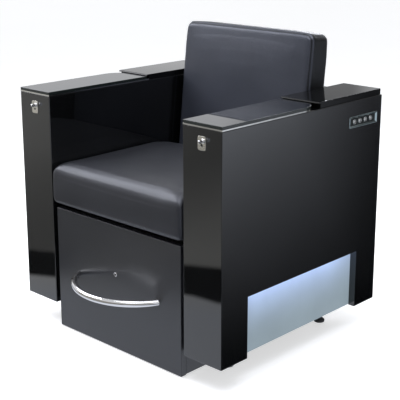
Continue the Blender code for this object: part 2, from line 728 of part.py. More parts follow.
def cable_gland():
    """Flanged gland through the rear panel, with an open bore for the mains cable."""
    inside = REAR_PANEL[0] - 0.008
    face = REAR_PANEL[1] + GAP
    profile = [(0.0035, inside), (GLAND_RADIUS, inside), (GLAND_RADIUS, face), (0.0125, face),
               (0.0125, face + 0.006), (0.0100, face + 0.009), (0.0090, face + 0.015),
               (0.0060, face + 0.0175), (0.0035, face + 0.0175)]
    centre = (GLAND_PLACE[0], 0.0, GLAND_PLACE[1])
    piece("cable_gland", lathe_mesh(profile, "Y", centre, 18), black_plastic("gland_plastic"),
          (centre[0], face, centre[2]), smooth=True)


# ---------------------------------------------------------------- foot bath drawer

def handle_bar(carriage):
    """Bow handle: a round bar on an arc in the level plane, cut off flush with the drawer front."""
    radius = (HANDLE_HALF ** 2 + HANDLE_SAGITTA ** 2) / (2 * HANDLE_SAGITTA)
    centre_y = -HANDLE_SAGITTA + radius
    sweep = math.degrees(math.asin(HANDLE_HALF / radius)) + 5.0
    steps = 26
    sides = 14
    bm = bmesh.new()
    rings = []
    for step in range(steps + 1):
        angle = math.radians(-90 - sweep + 2 * sweep * step / steps)
        outward = (math.cos(angle), math.sin(angle))
        ring = []
        for side in range(sides):
            turn = math.tau * side / sides
            reach = radius + HANDLE_RADIUS * math.cos(turn)
            ring.append(bm.verts.new((reach * outward[0], centre_y + reach * outward[1],
                                      HANDLE_Z + HANDLE_RADIUS * math.sin(turn))))
        rings.append(ring)
    skin_rings(bm, rings)
    handle = piece("handle_bar", bm, chrome("handle_chrome"), parent=carriage, smooth=True)
    cut(handle, box_mesh((-0.3, -GAP, HANDLE_Z - 0.1), (0.3, 0.2, HANDLE_Z + 0.1)), carriage)


def drawer_lock(carriage):
    """Lock cylinder with a turned head and a short cam behind the drawer front."""
    hinge = joint_empty("drawer_lock_axis", (0.0, 0.0, DRAWER_LOCK_Z))
    hinge.parent = carriage
    rear = FRONT_THICK + 0.006
    profile = [(0.0, -0.0036), (DRAWER_LOCK_RADIUS - 0.001, -0.0036), (DRAWER_LOCK_RADIUS, -0.0026),
               (DRAWER_LOCK_RADIUS, -GAP), (0.0050, -GAP), (0.0050, rear), (0.0, rear)]
    bm = lathe_mesh(profile, "Y", segments=24)
    lock = piece("drawer_lock", bm, chrome("lock_chrome"), parent=hinge, smooth=True)
    cam = arc((0.026, 0.0), 0.0055, -90, 90, 6) + arc((0.0, 0.0), 0.0055, 90, 270, 6)
    add(lock, prism_mesh(cam, "Y", rear - 0.004, rear - 0.001), hinge)


def foot_basin(carriage):
    """Moulded tub: flange on the drawer sides, drafted walls, rounded floor with foot ribs and a divider."""
    outer = ((-FRONT_HALF + 0.0005, FRONT_THICK + 0.0007), (FRONT_HALF - 0.0005, BASIN_REAR - FRONT_Y))
    rim = ((-0.234, 0.044), (0.234, 0.400))
    depth = BASIN_RIM - BASIN_FLOOR
    wall = BASIN_WALL
    flange = 0.005

    def inset(rectangle, amount):
        (x0, y0), (x1, y1) = rectangle
        return (x0 + amount, y0 + amount), (x1 - amount, y1 - amount)

    # (inset from the rim opening, depth below the rim, corner radius) down the inside of the tub
    inside = [(-0.006, 0.0, 0.066), (-0.0015, 0.0015, 0.062), (0.001, 0.006, 0.060), (0.010, 0.090, 0.058),
              (0.019, depth - 0.035, 0.056), (0.026, depth - 0.014, 0.052), (0.038, depth - 0.004, 0.044),
              (0.056, depth, 0.034)]
    bm = bmesh.new()

    def ring(rectangle, height, radius):
        points = rounded_rectangle(*rectangle, radius, 4)
        return [bm.verts.new((x, y, height)) for x, y in points]

    rings = []
    for amount, down, radius in reversed(inside[2:]):
        lower = wall if amount > 0.03 else wall * 0.5
        rings.append(ring(inset(rim, amount - wall), BASIN_RIM - down - lower, radius + wall))
    rings.append(ring(inset(rim, -wall - 0.001), BASIN_RIM - flange, 0.066))
    rings.append(ring(outer, BASIN_RIM - flange, 0.010))
    rings.append(ring(outer, BASIN_RIM - 0.001, 0.010))
    rings.append(ring(inset(outer, 0.001), BASIN_RIM, 0.009))
    for amount, down, radius in inside:
        rings.append(ring(inset(rim, amount), BASIN_RIM - down, radius))
    skin_rings(bm, rings)
    basin = piece("foot_basin", bm, white_acrylic("basin_acrylic"), parent=carriage, smooth=True)
    for mesh in basin_ribs():
        add(basin, mesh, carriage)
    drain_hole = rod_mesh("Z", (0.0, DRAIN_Y - FRONT_Y), 0.0185, BASIN_FLOOR - 0.02, BASIN_FLOOR + 0.02)
    cut(basin, drain_hole, carriage)


def basin_ribs():
    """Half-round ribs under each foot and the divider between the feet, sunk a little into the floor."""
    meshes = []
    for side in (-1, 1):
        for number in range(4):
            y = 0.108 + 0.048 * number
            section = arc((y, BASIN_FLOOR), 0.007, 0, 180, 6)
            section += [(y - 0.007, BASIN_FLOOR - 0.002), (y + 0.007, BASIN_FLOOR - 0.002)]
            xs = sorted((side * 0.045, side * 0.145))
            meshes.append(prism_mesh(section, "X", *xs))
    crest = arc((0.0, BASIN_FLOOR + 0.022), 0.008, 0, 180, 6)
    crest += [(-0.014, BASIN_FLOOR - 0.002), (0.014, BASIN_FLOOR - 0.002)]
    meshes.append(prism_mesh(crest, "Y", 0.102, 0.262))
    return meshes


def basin_drain(carriage):
    """Strainer flange on the basin floor, with a tail through it."""
    top = BASIN_FLOOR + 0.0025
    seat = BASIN_FLOOR + GAP
    profile = [(0.0, top - 0.002), (0.016, top - 0.002), (0.018, top), (DRAIN_RADIUS - 0.001, top),
               (DRAIN_RADIUS, seat), (0.0178, seat), (0.0178, 0.100), (0.0150, 0.098), (0.0150, 0.084),
               (0.0125, 0.084), (0.0125, top - 0.004), (0.0, top - 0.004)]
    centre = (0.0, DRAIN_Y - FRONT_Y, 0.0)
    bm = lathe_mesh(profile, "Z", centre, 20)
    drain = piece("basin_drain", bm, chrome("drain_chrome"), parent=carriage, smooth=True)
    for number in range(6):
        angle = math.tau * number / 6
        place = (0.0075 * math.cos(angle), centre[1] + 0.0075 * math.sin(angle))
        cut(drain, rod_mesh("Z", place, 0.0023, top - 0.010, top + 0.01, 8), carriage)


def whirl_pump(carriage):
    """Pump behind the basin: motor can, volute with inlet and outlet, and a foot on the drawer floor."""
    y = 0.160 - FRONT_Y
    z = FLOOR_Z[1] + 0.052
    profile = [(0.0, -0.110), (0.026, -0.110), (0.033, -0.104), (0.033, 0.005), (0.042, 0.010),
               (0.042, 0.036), (0.036, 0.042), (0.014, 0.042), (0.014, 0.068), (0.0, 0.068)]
    pump = piece("whirl_pump", lathe_mesh(profile, "X", (0.0, y, z), 24), black_plastic("pump_plastic"),
                 parent=carriage, smooth=True)
    add(pump, rod_mesh("Z", (0.0235, y + 0.0205), 0.012, z - 0.0032, z + 0.070, 20), carriage)
    foot = box_mesh((-0.090, y - 0.034, FLOOR_Z[1] + GAP), (0.000, y + 0.034, FLOOR_Z[1] + 0.006))
    add(pump, foot, carriage)
    add(pump, box_mesh((-0.080, y - 0.012, FLOOR_Z[1] + 0.003), (-0.010, y + 0.012, z - 0.0043)), carriage)


def castor(side, label, carriage):
    """Fixed castor under the drawer floor: a folded fork with its axle pin, and a wheel on the pin."""
    x = side * CASTOR_X
    y = CASTOR_Y - FRONT_Y
    top = FLOOR_Z[0] - GAP
    ear = WHEEL_HALF + 0.0012
    sheet = 0.0025
    hinge = joint_empty(f"castor_{label}_axle", (x, y, AXLE_Z))
    hinge.parent = carriage
    plate = box_mesh((-0.022, -0.026, top - AXLE_Z - sheet), (0.022, 0.026, top - AXLE_Z))
    fork = piece(f"castor_fork_{label}", plate, zinc_steel(f"fork_steel_{label}"), parent=hinge)
    outline = arc((0.0, 0.0), 0.009, 180, 360, 8)
    outline += [(0.020, top - AXLE_Z - 0.001), (-0.020, top - AXLE_Z - 0.001)]
    for sign in (-1, 1):
        start, end = sorted((sign * ear, sign * (ear + sheet)))
        add(fork, prism_mesh(outline, "X", start, end), hinge)
    add(fork, rod_mesh("X", (0.0, 0.0), AXLE_RADIUS, -ear - sheet - 0.002, ear + sheet + 0.002, 20), hinge)
    bore = AXLE_RADIUS + AXLE_CLEARANCE
    face = [(0.009, WHEEL_HALF), (0.010, 0.006), (0.016, 0.006), (0.017, 0.0085),
            (WHEEL_RADIUS - 0.002, 0.0085), (WHEEL_RADIUS, 0.006)]
    other_face = [(radius, -x) for radius, x in face]
    profile = [(bore, -WHEEL_HALF), *other_face, *reversed(face), (bore, WHEEL_HALF)]
    bm = lathe_mesh(profile, "X", segments=20)
    piece(f"castor_wheel_{label}", bm, grey_rubber(f"wheel_rubber_{label}"), parent=hinge, smooth=True)


def channel(web, lip, half, sheet):
    """Section of a C channel: x of its web and lip, and half its height about the slide's middle."""
    inward = math.copysign(sheet, lip - web)
    return [(web, SLIDE_Z - half), (lip, SLIDE_Z - half), (lip, SLIDE_Z - half + sheet),
            (web + inward, SLIDE_Z - half + sheet), (web + inward, SLIDE_Z + half - sheet),
            (lip, SLIDE_Z + half - sheet), (lip, SLIDE_Z + half), (web, SLIDE_Z + half)]


def telescopic_slide(side, label, carriage):
    """Three nested channels: on the arm, between, and on the drawer side."""
    arm_face = ARM_INNER - GAP
    drawer_face = FRONT_HALF
    middle_web = arm_face - SLIDE_SHEET - 0.0005
    sections = {
        "outer": channel(arm_face, drawer_face + 0.0012, 0.0225, SLIDE_SHEET),
        "middle": channel(middle_web, drawer_face + 0.0009, 0.0207, SLIDE_SHEET),
        "inner": channel(drawer_face, middle_web - SLIDE_SHEET - 0.0005, 0.0189, SLIDE_SHEET),
    }
    for member, section in sections.items():
        outline = [(side * x, z) for x, z in section]
        start, end = SLIDE_Y
        parent = None
        if member == "middle":
            parent = joint_empty(f"slide_middle_{label}_axis", (side * ARM_INNER, SLIDE_Y[0], SLIDE_Z))
        if member == "inner":
            parent = carriage
        shift = parent.location if parent else (0.0, 0.0, 0.0)
        outline = [(x - shift[0], z - shift[2]) for x, z in outline]
        bm = prism_mesh(outline, "Y", start - shift[1], end - shift[1])
        piece(f"slide_{member}_{label}", bm, zinc_steel(f"slide_steel_{member}_{label}"), parent=parent)


def build_drawer():
    carriage = joint_empty("drawer_carriage", (0.0, FRONT_Y, 0.0))
    rear = DRAWER_REAR - FRONT_Y
    behind = FRONT_THICK + GAP
    side_outer = FRONT_HALF - GAP
    side_inner = side_outer - SIDE_THICK
    front = block("drawer_front", (-FRONT_HALF, 0.0, FRONT_Z[0]), (FRONT_HALF, FRONT_THICK, FRONT_Z[1]),
                  black_lacquer("drawer_lacquer"), carriage, EDGE_ROUND)
    cut(front, rod_mesh("Y", (0.0, DRAWER_LOCK_Z), 0.0053, -0.01, FRONT_THICK + 0.01), carriage)
    for side, label in ((-1, "left"), (1, "right")):
        xs = sorted((side * side_inner, side * side_outer))
        block(f"drawer_side_{label}", (xs[0], behind, SIDE_Z[0]), (xs[1], rear, SIDE_Z[1]),
              black_lacquer(f"side_lacquer_{label}"), carriage)
        castor(side, label, carriage)
        telescopic_slide(side, label, carriage)
    inner = side_inner - GAP
    block("drawer_floor", (-inner, behind, FLOOR_Z[0]), (inner, rear - SIDE_THICK - GAP, FLOOR_Z[1]),
          black_board("drawer_floor_board"), carriage)
    block("drawer_back", (-inner, rear - SIDE_THICK, FLOOR_Z[0]), (inner, rear, SIDE_Z[1]),
          black_board("drawer_back_board"), carriage)
    handle_bar(carriage)
    drawer_lock(carriage)
    foot_basin(carriage)
    basin_drain(carriage)
    whirl_pump(carriage)


# ---------------------------------------------------------------- the chair

def build_chair():
    clear_scene()
    build_arm(-1, "left")
    right_shell = build_arm(1, "right")
    control_panel(right_shell)
    build_seat_unit()
    build_drawer()


build_chair()
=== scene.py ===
# Looks of a pedicure spa chair: lacquered arms with swivelling glass tops, leather cushions and a
# drawer with a foot basin. Metres, +Z up, the sitter faces -Y, right is +X.
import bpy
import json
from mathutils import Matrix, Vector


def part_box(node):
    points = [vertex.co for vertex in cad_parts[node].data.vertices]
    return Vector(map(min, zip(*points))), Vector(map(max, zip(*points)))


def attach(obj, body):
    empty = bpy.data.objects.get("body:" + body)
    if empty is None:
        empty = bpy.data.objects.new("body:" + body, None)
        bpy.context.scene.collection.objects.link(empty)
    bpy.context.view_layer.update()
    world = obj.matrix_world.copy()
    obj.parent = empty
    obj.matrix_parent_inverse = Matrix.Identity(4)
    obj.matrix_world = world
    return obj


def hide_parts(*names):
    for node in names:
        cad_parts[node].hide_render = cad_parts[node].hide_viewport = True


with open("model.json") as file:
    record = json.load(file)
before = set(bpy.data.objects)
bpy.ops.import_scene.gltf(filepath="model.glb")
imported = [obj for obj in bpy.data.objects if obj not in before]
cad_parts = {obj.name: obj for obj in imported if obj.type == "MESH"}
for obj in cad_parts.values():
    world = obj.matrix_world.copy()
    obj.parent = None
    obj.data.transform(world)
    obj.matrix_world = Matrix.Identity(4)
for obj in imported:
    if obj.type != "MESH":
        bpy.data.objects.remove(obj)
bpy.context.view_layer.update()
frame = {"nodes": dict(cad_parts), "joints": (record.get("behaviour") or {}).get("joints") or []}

import json
import math

import bmesh
import bpy
import numpy as np
from mathutils import Matrix, Vector
from mathutils.bvhtree import BVHTree
from mathutils.kdtree import KDTree

NODES = frame["nodes"]
JOINTS = {joint["name"]: joint for joint in frame["joints"]}
SIDES = ((-1, "left"), (1, "right"))
PIVOT = (0.350, 0.0375)     # post of the right arm's swivel top, in plan
SWING_RADIUS = 0.070        # half the arm's width
FRONT_Y = -0.301            # face of the drawer front


# ---------------------------------------------------------------- materials

EVEN = (1.0, 1.0, 1.0)      # no stretch


def srgb(*values):
    """Linear colour from 8-bit display values."""
    linear = []
    for value in values:
        share = value / 255
        linear.append(share / 12.92 if share <= 0.04045 else ((share + 0.055) / 1.055) ** 2.4)
    return (*linear, 1.0)


def shade(colour, factor):
    """A colour made darker or brighter."""
    return (*(value * factor for value in colour[:3]), 1.0)


class Nodes:
    """Shader nodes that are added to one tree."""

    def __init__(self, tree):
        self.tree = tree

    def fill(self, target, value):
        """Link another node's output to a socket, or set the socket's own value."""
        if isinstance(value, bpy.types.NodeSocket):
            self.tree.links.new(value, target)
        else:
            target.default_value = value

    def node(self, kind, values=(), **settings):
        """A node of a kind; values fill its inputs in order, or by name or number from a dict."""
        made = self.tree.nodes.new("ShaderNode" + kind)
        for setting, value in settings.items():
            setattr(made, setting, value)
        for key, value in values.items() if isinstance(values, dict) else enumerate(values):
            self.fill(made.inputs[key], value)
        return made

    def out(self, kind, values=(), **settings):
        """The first output of a new node."""
        return self.node(kind, values, **settings).outputs[0]

    def span(self, value, low, high, to_low=0.0, to_high=1.0, kind="LINEAR"):
        return self.out("MapRange", (value, low, high, to_low, to_high), interpolation_type=kind)

    def ramp(self, value, low, high, to_low=0.0, to_high=1.0):
        """A span that eases in and out."""
        return self.span(value, low, high, to_low, to_high, "SMOOTHSTEP")

    def maths(self, operation, first, second=0.0):
        return self.out("Math", (first, second), operation=operation)

    def mix(self, factor, first, second):
        return self.out("Mix", {0: factor, 2: first, 3: second}, data_type="FLOAT")

    def blend(self, factor, first, second):
        return self.node("Mix", {0: factor, 6: first, 7: second}, data_type="RGBA").outputs[2]


class Look(Nodes):
    """A node material that is built up step by step around one Principled shader."""

    def __init__(self, name, colour, roughness, **sockets):
        self.material = bpy.data.materials.new(name)
        self.material.use_nodes = True
        super().__init__(self.material.node_tree)
        self.shader = self.tree.nodes["Principled BSDF"]
        self.normal = None
        self.plug("Base Color", colour)
        self.plug("Roughness", roughness)
        for socket, value in sockets.items():
            self.plug(socket.replace("_", " "), value)

    def plug(self, socket, value):
        self.fill(self.shader.inputs[socket], value)

    def place(self, stretch=EVEN):
        """Coordinates on the piece, in metres at rest, stretched along an axis for brushing."""
        source = self.node("TexCoord").outputs["Object"]
        if stretch == EVEN:
            return source
        return self.out("Mapping", {"Vector": source, "Scale": stretch})

    def noise(self, scale, detail=2.0, stretch=EVEN):
        return self.out("TexNoise", {"Vector": self.place(stretch), "Scale": scale, "Detail": detail})

    def cells(self, scale, feature="F1"):
        values = {"Vector": self.place(), "Scale": scale}
        return self.node("TexVoronoi", values, feature=feature).outputs["Distance"]

    def along(self, name):
        """One coordinate of the piece's own space, such as Z."""
        return self.node("SeparateXYZ", (self.place(),)).outputs[name]

    def facing(self, name):
        """How squarely the surface faces along an axis, either way."""
        normal = self.node("NewGeometry").outputs["Normal"]
        return self.maths("ABSOLUTE", self.node("SeparateXYZ", (normal,)).outputs[name])

    def bump(self, height, distance):
        values = {"Strength": 1.0, "Distance": distance, "Height": height}
        if self.normal:
            values["Normal"] = self.normal
        self.normal = self.out("Bump", values)
        self.plug("Normal", self.normal)

    def mottle(self, colour, scale, amount):
        """Let the base colour drift a little either side of the given one."""
        factor = self.span(self.noise(scale, 3.0), 0.3, 0.7)
        self.plug("Base Color", self.blend(factor, shade(colour, 1 - amount), shade(colour, 1 + amount)))

    def vary_roughness(self, scale, low, high, stretch=EVEN):
        self.plug("Roughness", self.span(self.noise(scale, 3.0, stretch), 0.3, 0.7, low, high))


def lacquer(name, body_gloss=0.5, coat_ior=1.5):
    """Polished black lacquer: clear coat, faint orange peel and polishing haze."""
    colour = (0.0032, 0.0034, 0.0037, 1.0)
    look = Look(name, colour, 0.05, Coat_Weight=1.0, Coat_Roughness=0.012, Coat_IOR=coat_ior,
                Specular_IOR_Level=body_gloss)
    look.mottle(colour, 5.0, 0.25)
    look.vary_roughness(14.0, 0.03, 0.07)
    look.bump(look.noise(260.0, 1.0), 0.00001)
    look.bump(look.noise(7.0, 1.0), 0.00016)
    return look.material


def satin_lacquer(name):
    """The drawer front's satin lacquer, which only blurs what stands before it."""
    colour = (0.0200, 0.0212, 0.0260, 1.0)
    look = Look(name, colour, 0.3, Coat_Weight=0.35, Coat_Roughness=0.20)
    look.mottle(colour, 4.0, 0.10)
    look.vary_roughness(9.0, 0.28, 0.33)
    look.bump(look.noise(420.0, 2.0), 0.00002)
    look.bump(look.noise(6.0, 1.0), 0.0002)
    return look.material


def board(name):
    """Plain black board with a fine pressed grain."""
    colour = (0.016, 0.016, 0.017, 1.0)
    look = Look(name, colour, 0.55)
    look.mottle(colour, 30.0, 0.2)
    look.bump(look.noise(90.0, 4.0, (6.0, 1.0, 6.0)), 0.0001)
    return look.material


def dark_glass(name, lean=0.0):
    """Black-backed float glass, whose ground edges are a little greener and duller.

    A lean bows the reflections up a little towards the rear, as in a sheet that sags at its hub.
    """
    look = Look(name, (0.004, 0.004, 0.004, 1.0), 0.02, IOR=1.6)
    flat = look.span(look.facing("Z"), 0.55, 0.95)
    look.plug("Base Color", look.blend(flat, (0.012, 0.017, 0.016, 1.0), (0.0100, 0.0115, 0.0150, 1.0)))
    haze = look.span(look.noise(22.0, 4.0), 0.35, 0.8, 0.008, 0.025)
    edge = look.span(flat, 0.0, 1.0, 0.16, 0.0)
    look.plug("Roughness", look.maths("ADD", haze, edge))
    look.bump(look.noise(3.0, 1.0), 0.0001)
    if lean:
        look.bump(look.along("Y"), lean)
    return look.material


def leather(name, colour, grain=1.0, side_shade=None):
    """Smooth upholstery leather: pebbled grain with painted shade in its creases, pores, and a soft sheen
    that drifts.

    The side colour is painted shade: a darker colour on the strip between the panels, the faces that look
    neither front nor rear.
    """
    look = Look(name, colour, 0.42, Coat_Weight=0.16, Coat_Roughness=0.3,
                Specular_Tint=(0.84, 0.87, 1.0, 1.0))
    creases = look.span(look.cells(430.0, "DISTANCE_TO_EDGE"), 0.0, 0.10)
    broad = look.span(look.noise(9.0, 4.0), 0.3, 0.7)
    hide = look.blend(broad, shade(colour, 0.86), shade(colour, 1.10))
    # painted shade: the grain's creases are darker, as the shade that falls in them
    hide = look.blend(creases, shade(colour, 0.62), hide)
    if side_shade:
        # painted shade: faces that look neither front nor rear take the darker side colour
        hide = look.blend(look.span(look.facing("Y"), 0.25, 0.55), side_shade, hide)
    look.plug("Base Color", hide)
    look.plug("Roughness", look.maths("ADD", look.span(creases, 0.0, 1.0, 0.12, 0.0),
                                     look.span(look.noise(16.0, 3.0), 0.3, 0.7, 0.34, 0.38)))
    look.bump(creases, 0.00009 * grain)
    look.bump(look.noise(1500.0, 2.0), 0.00003 * grain)
    look.bump(look.noise(34.0, 3.0), 0.0003 * grain)
    return look.material


def brushed(name, colour, direction=(1.0, 40.0, 40.0), roughness=0.26):
    """Brushed metal, its hairlines running along one axis."""
    look = Look(name, colour, roughness, Metallic=1.0, Anisotropic=0.5)
    look.mottle(colour, 40.0, 0.08)
    look.vary_roughness(60.0, roughness - 0.06, roughness + 0.08, direction)
    look.bump(look.noise(70.0, 3.0, direction), 0.00003)
    return look.material


def chrome(name, colour=(0.80, 0.80, 0.81, 1.0)):
    """Bright chrome with the faintest wiping haze."""
    look = Look(name, colour, 0.05, Metallic=1.0)
    look.vary_roughness(35.0, 0.03, 0.06)
    look.bump(look.noise(28.0, 1.0), 0.00001)
    return look.material


def zinc(name):
    """Zinc-plated sheet with a soft spangle."""
    look = Look(name, (0.42, 0.43, 0.45, 1.0), 0.36, Metallic=1.0)
    spangle = look.span(look.cells(160.0), 0.0, 0.6)
    look.plug("Base Color", look.blend(spangle, (0.36, 0.38, 0.42, 1.0), (0.52, 0.53, 0.54, 1.0)))
    look.vary_roughness(120.0, 0.28, 0.44)
    look.bump(look.noise(500.0, 2.0), 0.00002)
    return look.material


def plastic(name, colour, roughness):
    """Moulded plastic with a spark-eroded texture."""
    look = Look(name, colour, roughness)
    look.mottle(colour, 60.0, 0.12)
    look.vary_roughness(80.0, roughness - 0.05, roughness + 0.06)
    look.bump(look.noise(900.0, 2.0), 0.00005)
    return look.material


def rubber(name):
    """Grey rubber with a dusty, uneven tone."""
    colour = (0.045, 0.045, 0.048, 1.0)
    look = Look(name, colour, 0.7)
    look.mottle(colour, 90.0, 0.2)
    look.bump(look.noise(700.0, 3.0), 0.00008)
    return look.material


def sanitary(name):
    """Glossy white acrylic with a very slight vacuum-forming ripple."""
    colour = (0.80, 0.81, 0.82, 1.0)
    look = Look(name, colour, 0.12, Coat_Weight=0.5, Coat_Roughness=0.04)
    look.mottle(colour, 6.0, 0.015)
    look.vary_roughness(18.0, 0.10, 0.17)
    look.bump(look.noise(16.0, 1.0), 0.0003)
    return look.material


def lit_acrylic(name):
    """Frosted acrylic lit along its upper edge: the glow fades downwards and towards the ends."""
    look = Look(name, (0.10, 0.12, 0.13, 1.0), 0.34)
    height = look.span(look.along("Z"), 0.085, 0.252)
    from_middle = look.maths("ABSOLUTE", look.maths("SUBTRACT", look.along("Y"), 0.03))
    ends = look.ramp(from_middle, 0.14, 0.33, 1.0, 0.4)
    upper = look.maths("MULTIPLY", look.maths("POWER", height, 2.2), ends)
    drift = look.span(look.noise(9.0, 2.0), 0.3, 0.7, 0.94, 1.06)
    look.plug("Emission Color", look.blend(upper, srgb(148, 164, 174), srgb(180, 204, 252)))
    look.plug("Emission Strength", look.maths("MULTIPLY", drift, look.span(upper, 0.0, 1.0, 0.71, 1.10)))
    look.bump(look.noise(1200.0, 2.0), 0.00003)
    return look.material


LOOKS = {
    "lacquer": lacquer("black_lacquer_gloss"),
    "cap": lacquer("black_lacquer_cap", 0.0, 1.40),
    "satin": satin_lacquer("black_lacquer_satin"),
    "board": board("black_board_pressed"),
    "glass": dark_glass("black_glass_polished"),
    "top_glass": dark_glass("black_glass_top", 0.030),
    "seat": leather("seat_leather_grained", (0.0235, 0.0247, 0.0293, 1.0)),
    # painted light: the back's leather is the seat's leather made lighter
    "back": leather("back_leather_painted_lighter", (0.0405, 0.0447, 0.0590, 1.0),
                    # painted shade on the back's side strip, darker than its panels
                    side_shade=(0.0060, 0.0068, 0.0066, 1.0)),
    # painted shade: the back's piping is much darker than its leather, for the shade in the seam
    "welt": leather("welt_leather_painted_shade", (0.0070, 0.0075, 0.0090, 1.0), 0.5),
    "steel": brushed("brushed_steel_warm", (0.82, 0.79, 0.72, 1.0)),
    "edge": brushed("bright_edge_steel", (0.78, 0.77, 0.74, 1.0), (4.0, 4.0, 30.0), 0.16),
    "silver": brushed("spun_silver", (0.70, 0.70, 0.68, 1.0), (40.0, 4.0, 4.0), 0.24),
    "chrome": chrome("chrome_polished"),
    "bezel": chrome("chrome_dark", (0.36, 0.43, 0.44, 1.0)),
    "zinc": zinc("zinc_plate"),
    "aluminium": brushed("extruded_aluminium", (0.60, 0.61, 0.62, 1.0), (40.0, 1.0, 40.0), 0.34),
    "plastic": plastic("black_plastic_satin", (0.014, 0.014, 0.015, 1.0), 0.38),
    "rubber": rubber("grey_rubber"),
    "basin": sanitary("white_acrylic_gloss"),
    "light": lit_acrylic("frosted_acrylic_lit"),
}


def dress(look, *names):
    """Give CAD nodes a material in place of the one they came with."""
    for name in names:
        mesh = NODES[name].data
        mesh.materials.clear()
        mesh.materials.append(LOOKS[look])


def both(*names):
    return [f"{name}_{label}" for name in names for side, label in SIDES]


# ---------------------------------------------------------------- mesh helpers

def arc(centre, radius, first, last, steps):
    points = []
    for step in range(steps + 1):
        angle = math.radians(first + (last - first) * step / steps)
        points.append((centre[0] + radius * math.cos(angle), centre[1] + radius * math.sin(angle)))
    return points


def rounded_rectangle(low, high, radius, steps=8):
    centres = ((high[0] - radius, high[1] - radius), (low[0] + radius, high[1] - radius),
               (low[0] + radius, low[1] + radius), (high[0] - radius, low[1] + radius))
    points = []
    for quarter, centre in enumerate(centres):
        points += arc(centre, radius, 90 * quarter, 90 * quarter + 90, steps)
    return points


def prism(outline, axis, start, end):
    index = "XYZ".index(axis)
    bm = bmesh.new()
    loops = []
    for level in (start, end):
        ring = []
        for point in outline:
            place = list(point)
            place.insert(index, level)
            ring.append(bm.verts.new(place))
        loops.append(ring)
    skin(bm, loops)
    return bm


def skin(bm, rings, close=True):
    """Join rings of vertices with quads and cap both ends, or join the last to the first."""
    bridge(bm, rings if close else rings + rings[:1])
    if close:
        bm.faces.new(rings[0])
        bm.faces.new(rings[-1])
    bmesh.ops.recalc_face_normals(bm, faces=bm.faces)


def bridge(bm, rings):
    """Join each ring of vertices to the next one with quads."""
    count = len(rings[0])
    for lower, upper in zip(rings, rings[1:]):
        for index in range(count):
            after = (index + 1) % count
            bm.faces.new((lower[index], lower[after], upper[after], upper[index]))


TURNS = {"X": Matrix.Rotation(math.pi / 2, 4, "Y"), "Y": Matrix.Rotation(-math.pi / 2, 4, "X"),
         "Z": Matrix.Identity(4)}


def lathe(profile, axis="Z", centre=(0.0, 0.0, 0.0), segments=64):
    """Turn (radius, height) points about an axis; the profile ends on the axis, or closes a ring."""
    ring = profile[0][0] > 0
    bm = bmesh.new()
    rows = []
    for radius, height in profile:
        if radius <= 0:
            rows.append([bm.verts.new((0.0, 0.0, height))])
            continue
        angles = [math.tau * step / segments for step in range(segments)]
        rows.append([bm.verts.new((radius * math.cos(a), radius * math.sin(a), height)) for a in angles])
    pairs = list(zip(rows, rows[1:]))
    if ring:
        pairs.append((rows[-1], rows[0]))
    for lower, upper in pairs:
        for step in range(segments):
            after = (step + 1) % segments
            corners = [lower[step % len(lower)], lower[after % len(lower)],
                       upper[after % len(upper)], upper[step % len(upper)]]
            bm.faces.new(list(dict.fromkeys(corners)))
    bmesh.ops.transform(bm, matrix=TURNS[axis], verts=bm.verts)
    bmesh.ops.translate(bm, vec=centre, verts=bm.verts)
    bmesh.ops.recalc_face_normals(bm, faces=bm.faces)
    return bm


def rod(radius, low, high, axis="Z", centre=(0.0, 0.0, 0.0), segments=64):
    """A plain round bar between two heights along an axis."""
    return lathe([(0.0, low), (radius, low), (radius, high), (0.0, high)], axis, centre, segments)


def stacked(low, high, stages, steps):
    """A form skinned through rounded rectangles, each with its inset, height and corner radius."""
    bm = bmesh.new()
    rings = []
    for inset, height, radius in stages:
        outline = rounded_rectangle((low[0] + inset, low[1] + inset), (high[0] - inset, high[1] - inset),
                                    radius, steps)
        rings.append([bm.verts.new((x, y, height)) for x, y in outline])
    skin(bm, rings)
    return bm


def slab(low, high):
    """A block between two corners."""
    corners = [(low[0], low[1]), (high[0], low[1]), (high[0], high[1]), (low[0], high[1])]
    return prism(corners, "Z", low[2], high[2])


def tube(points, radius, sides=10):
    """A tube round a closed path."""
    bm = bmesh.new()
    rings = []
    angles = [math.tau * step / sides for step in range(sides)]
    side = (points[1] - points[-1]).normalized().orthogonal()
    for index, point in enumerate(points):
        ahead = (points[(index + 1) % len(points)] - points[index - 1]).normalized()
        side = (side - ahead * side.dot(ahead)).normalized()
        up = ahead.cross(side)
        rings.append([bm.verts.new(point + (side * math.cos(a) + up * math.sin(a)) * radius) for a in angles])
    first = rings[0]
    # the last ring joins the first one at the corners that lie nearest
    twist = min(range(sides), key=lambda step: (rings[-1][0].co - first[step].co).length)
    bridge(bm, [*rings, first[twist:] + first[:twist]])
    bmesh.ops.recalc_face_normals(bm, faces=bm.faces)
    return bm


def linked(name, bm):
    """A new object in the scene, whose mesh is taken from bm."""
    mesh = bpy.data.meshes.new(name)
    bm.to_mesh(mesh)
    bm.free()
    obj = bpy.data.objects.new(name, mesh)
    bpy.context.scene.collection.objects.link(obj)
    return obj


def piece(name, bm, look, body, stands_for=(), smooth=35, bevel=0.0):
    """Finish a mesh as one piece: shading, material, the body it rides on and what it replaces."""
    obj = linked(name, bm)
    obj.data.shade_smooth()
    obj.data.set_sharp_from_angle(angle=math.radians(smooth))
    obj.data.materials.append(LOOKS[look])
    if bevel:
        soften(obj, bevel)
    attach(obj, body)
    if stands_for:
        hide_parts(*stands_for)
    return obj


def soften(obj, width, segments=3):
    """Round off the hard edges of a piece or a CAD node with a modifier."""
    modifier = obj.modifiers.new("edges", "BEVEL")
    modifier.width = width
    modifier.segments = segments
    modifier.limit_method = "ANGLE"
    modifier.angle_limit = math.radians(40)
    modifier.harden_normals = True


def refine_node(name, width):
    """Weld a CAD node's triangles together and round its edges, in modifiers alone."""
    node = NODES[name]
    weld = node.modifiers.new("weld", "WELD")
    weld.merge_threshold = 0.00002
    soften(node, width, 2)


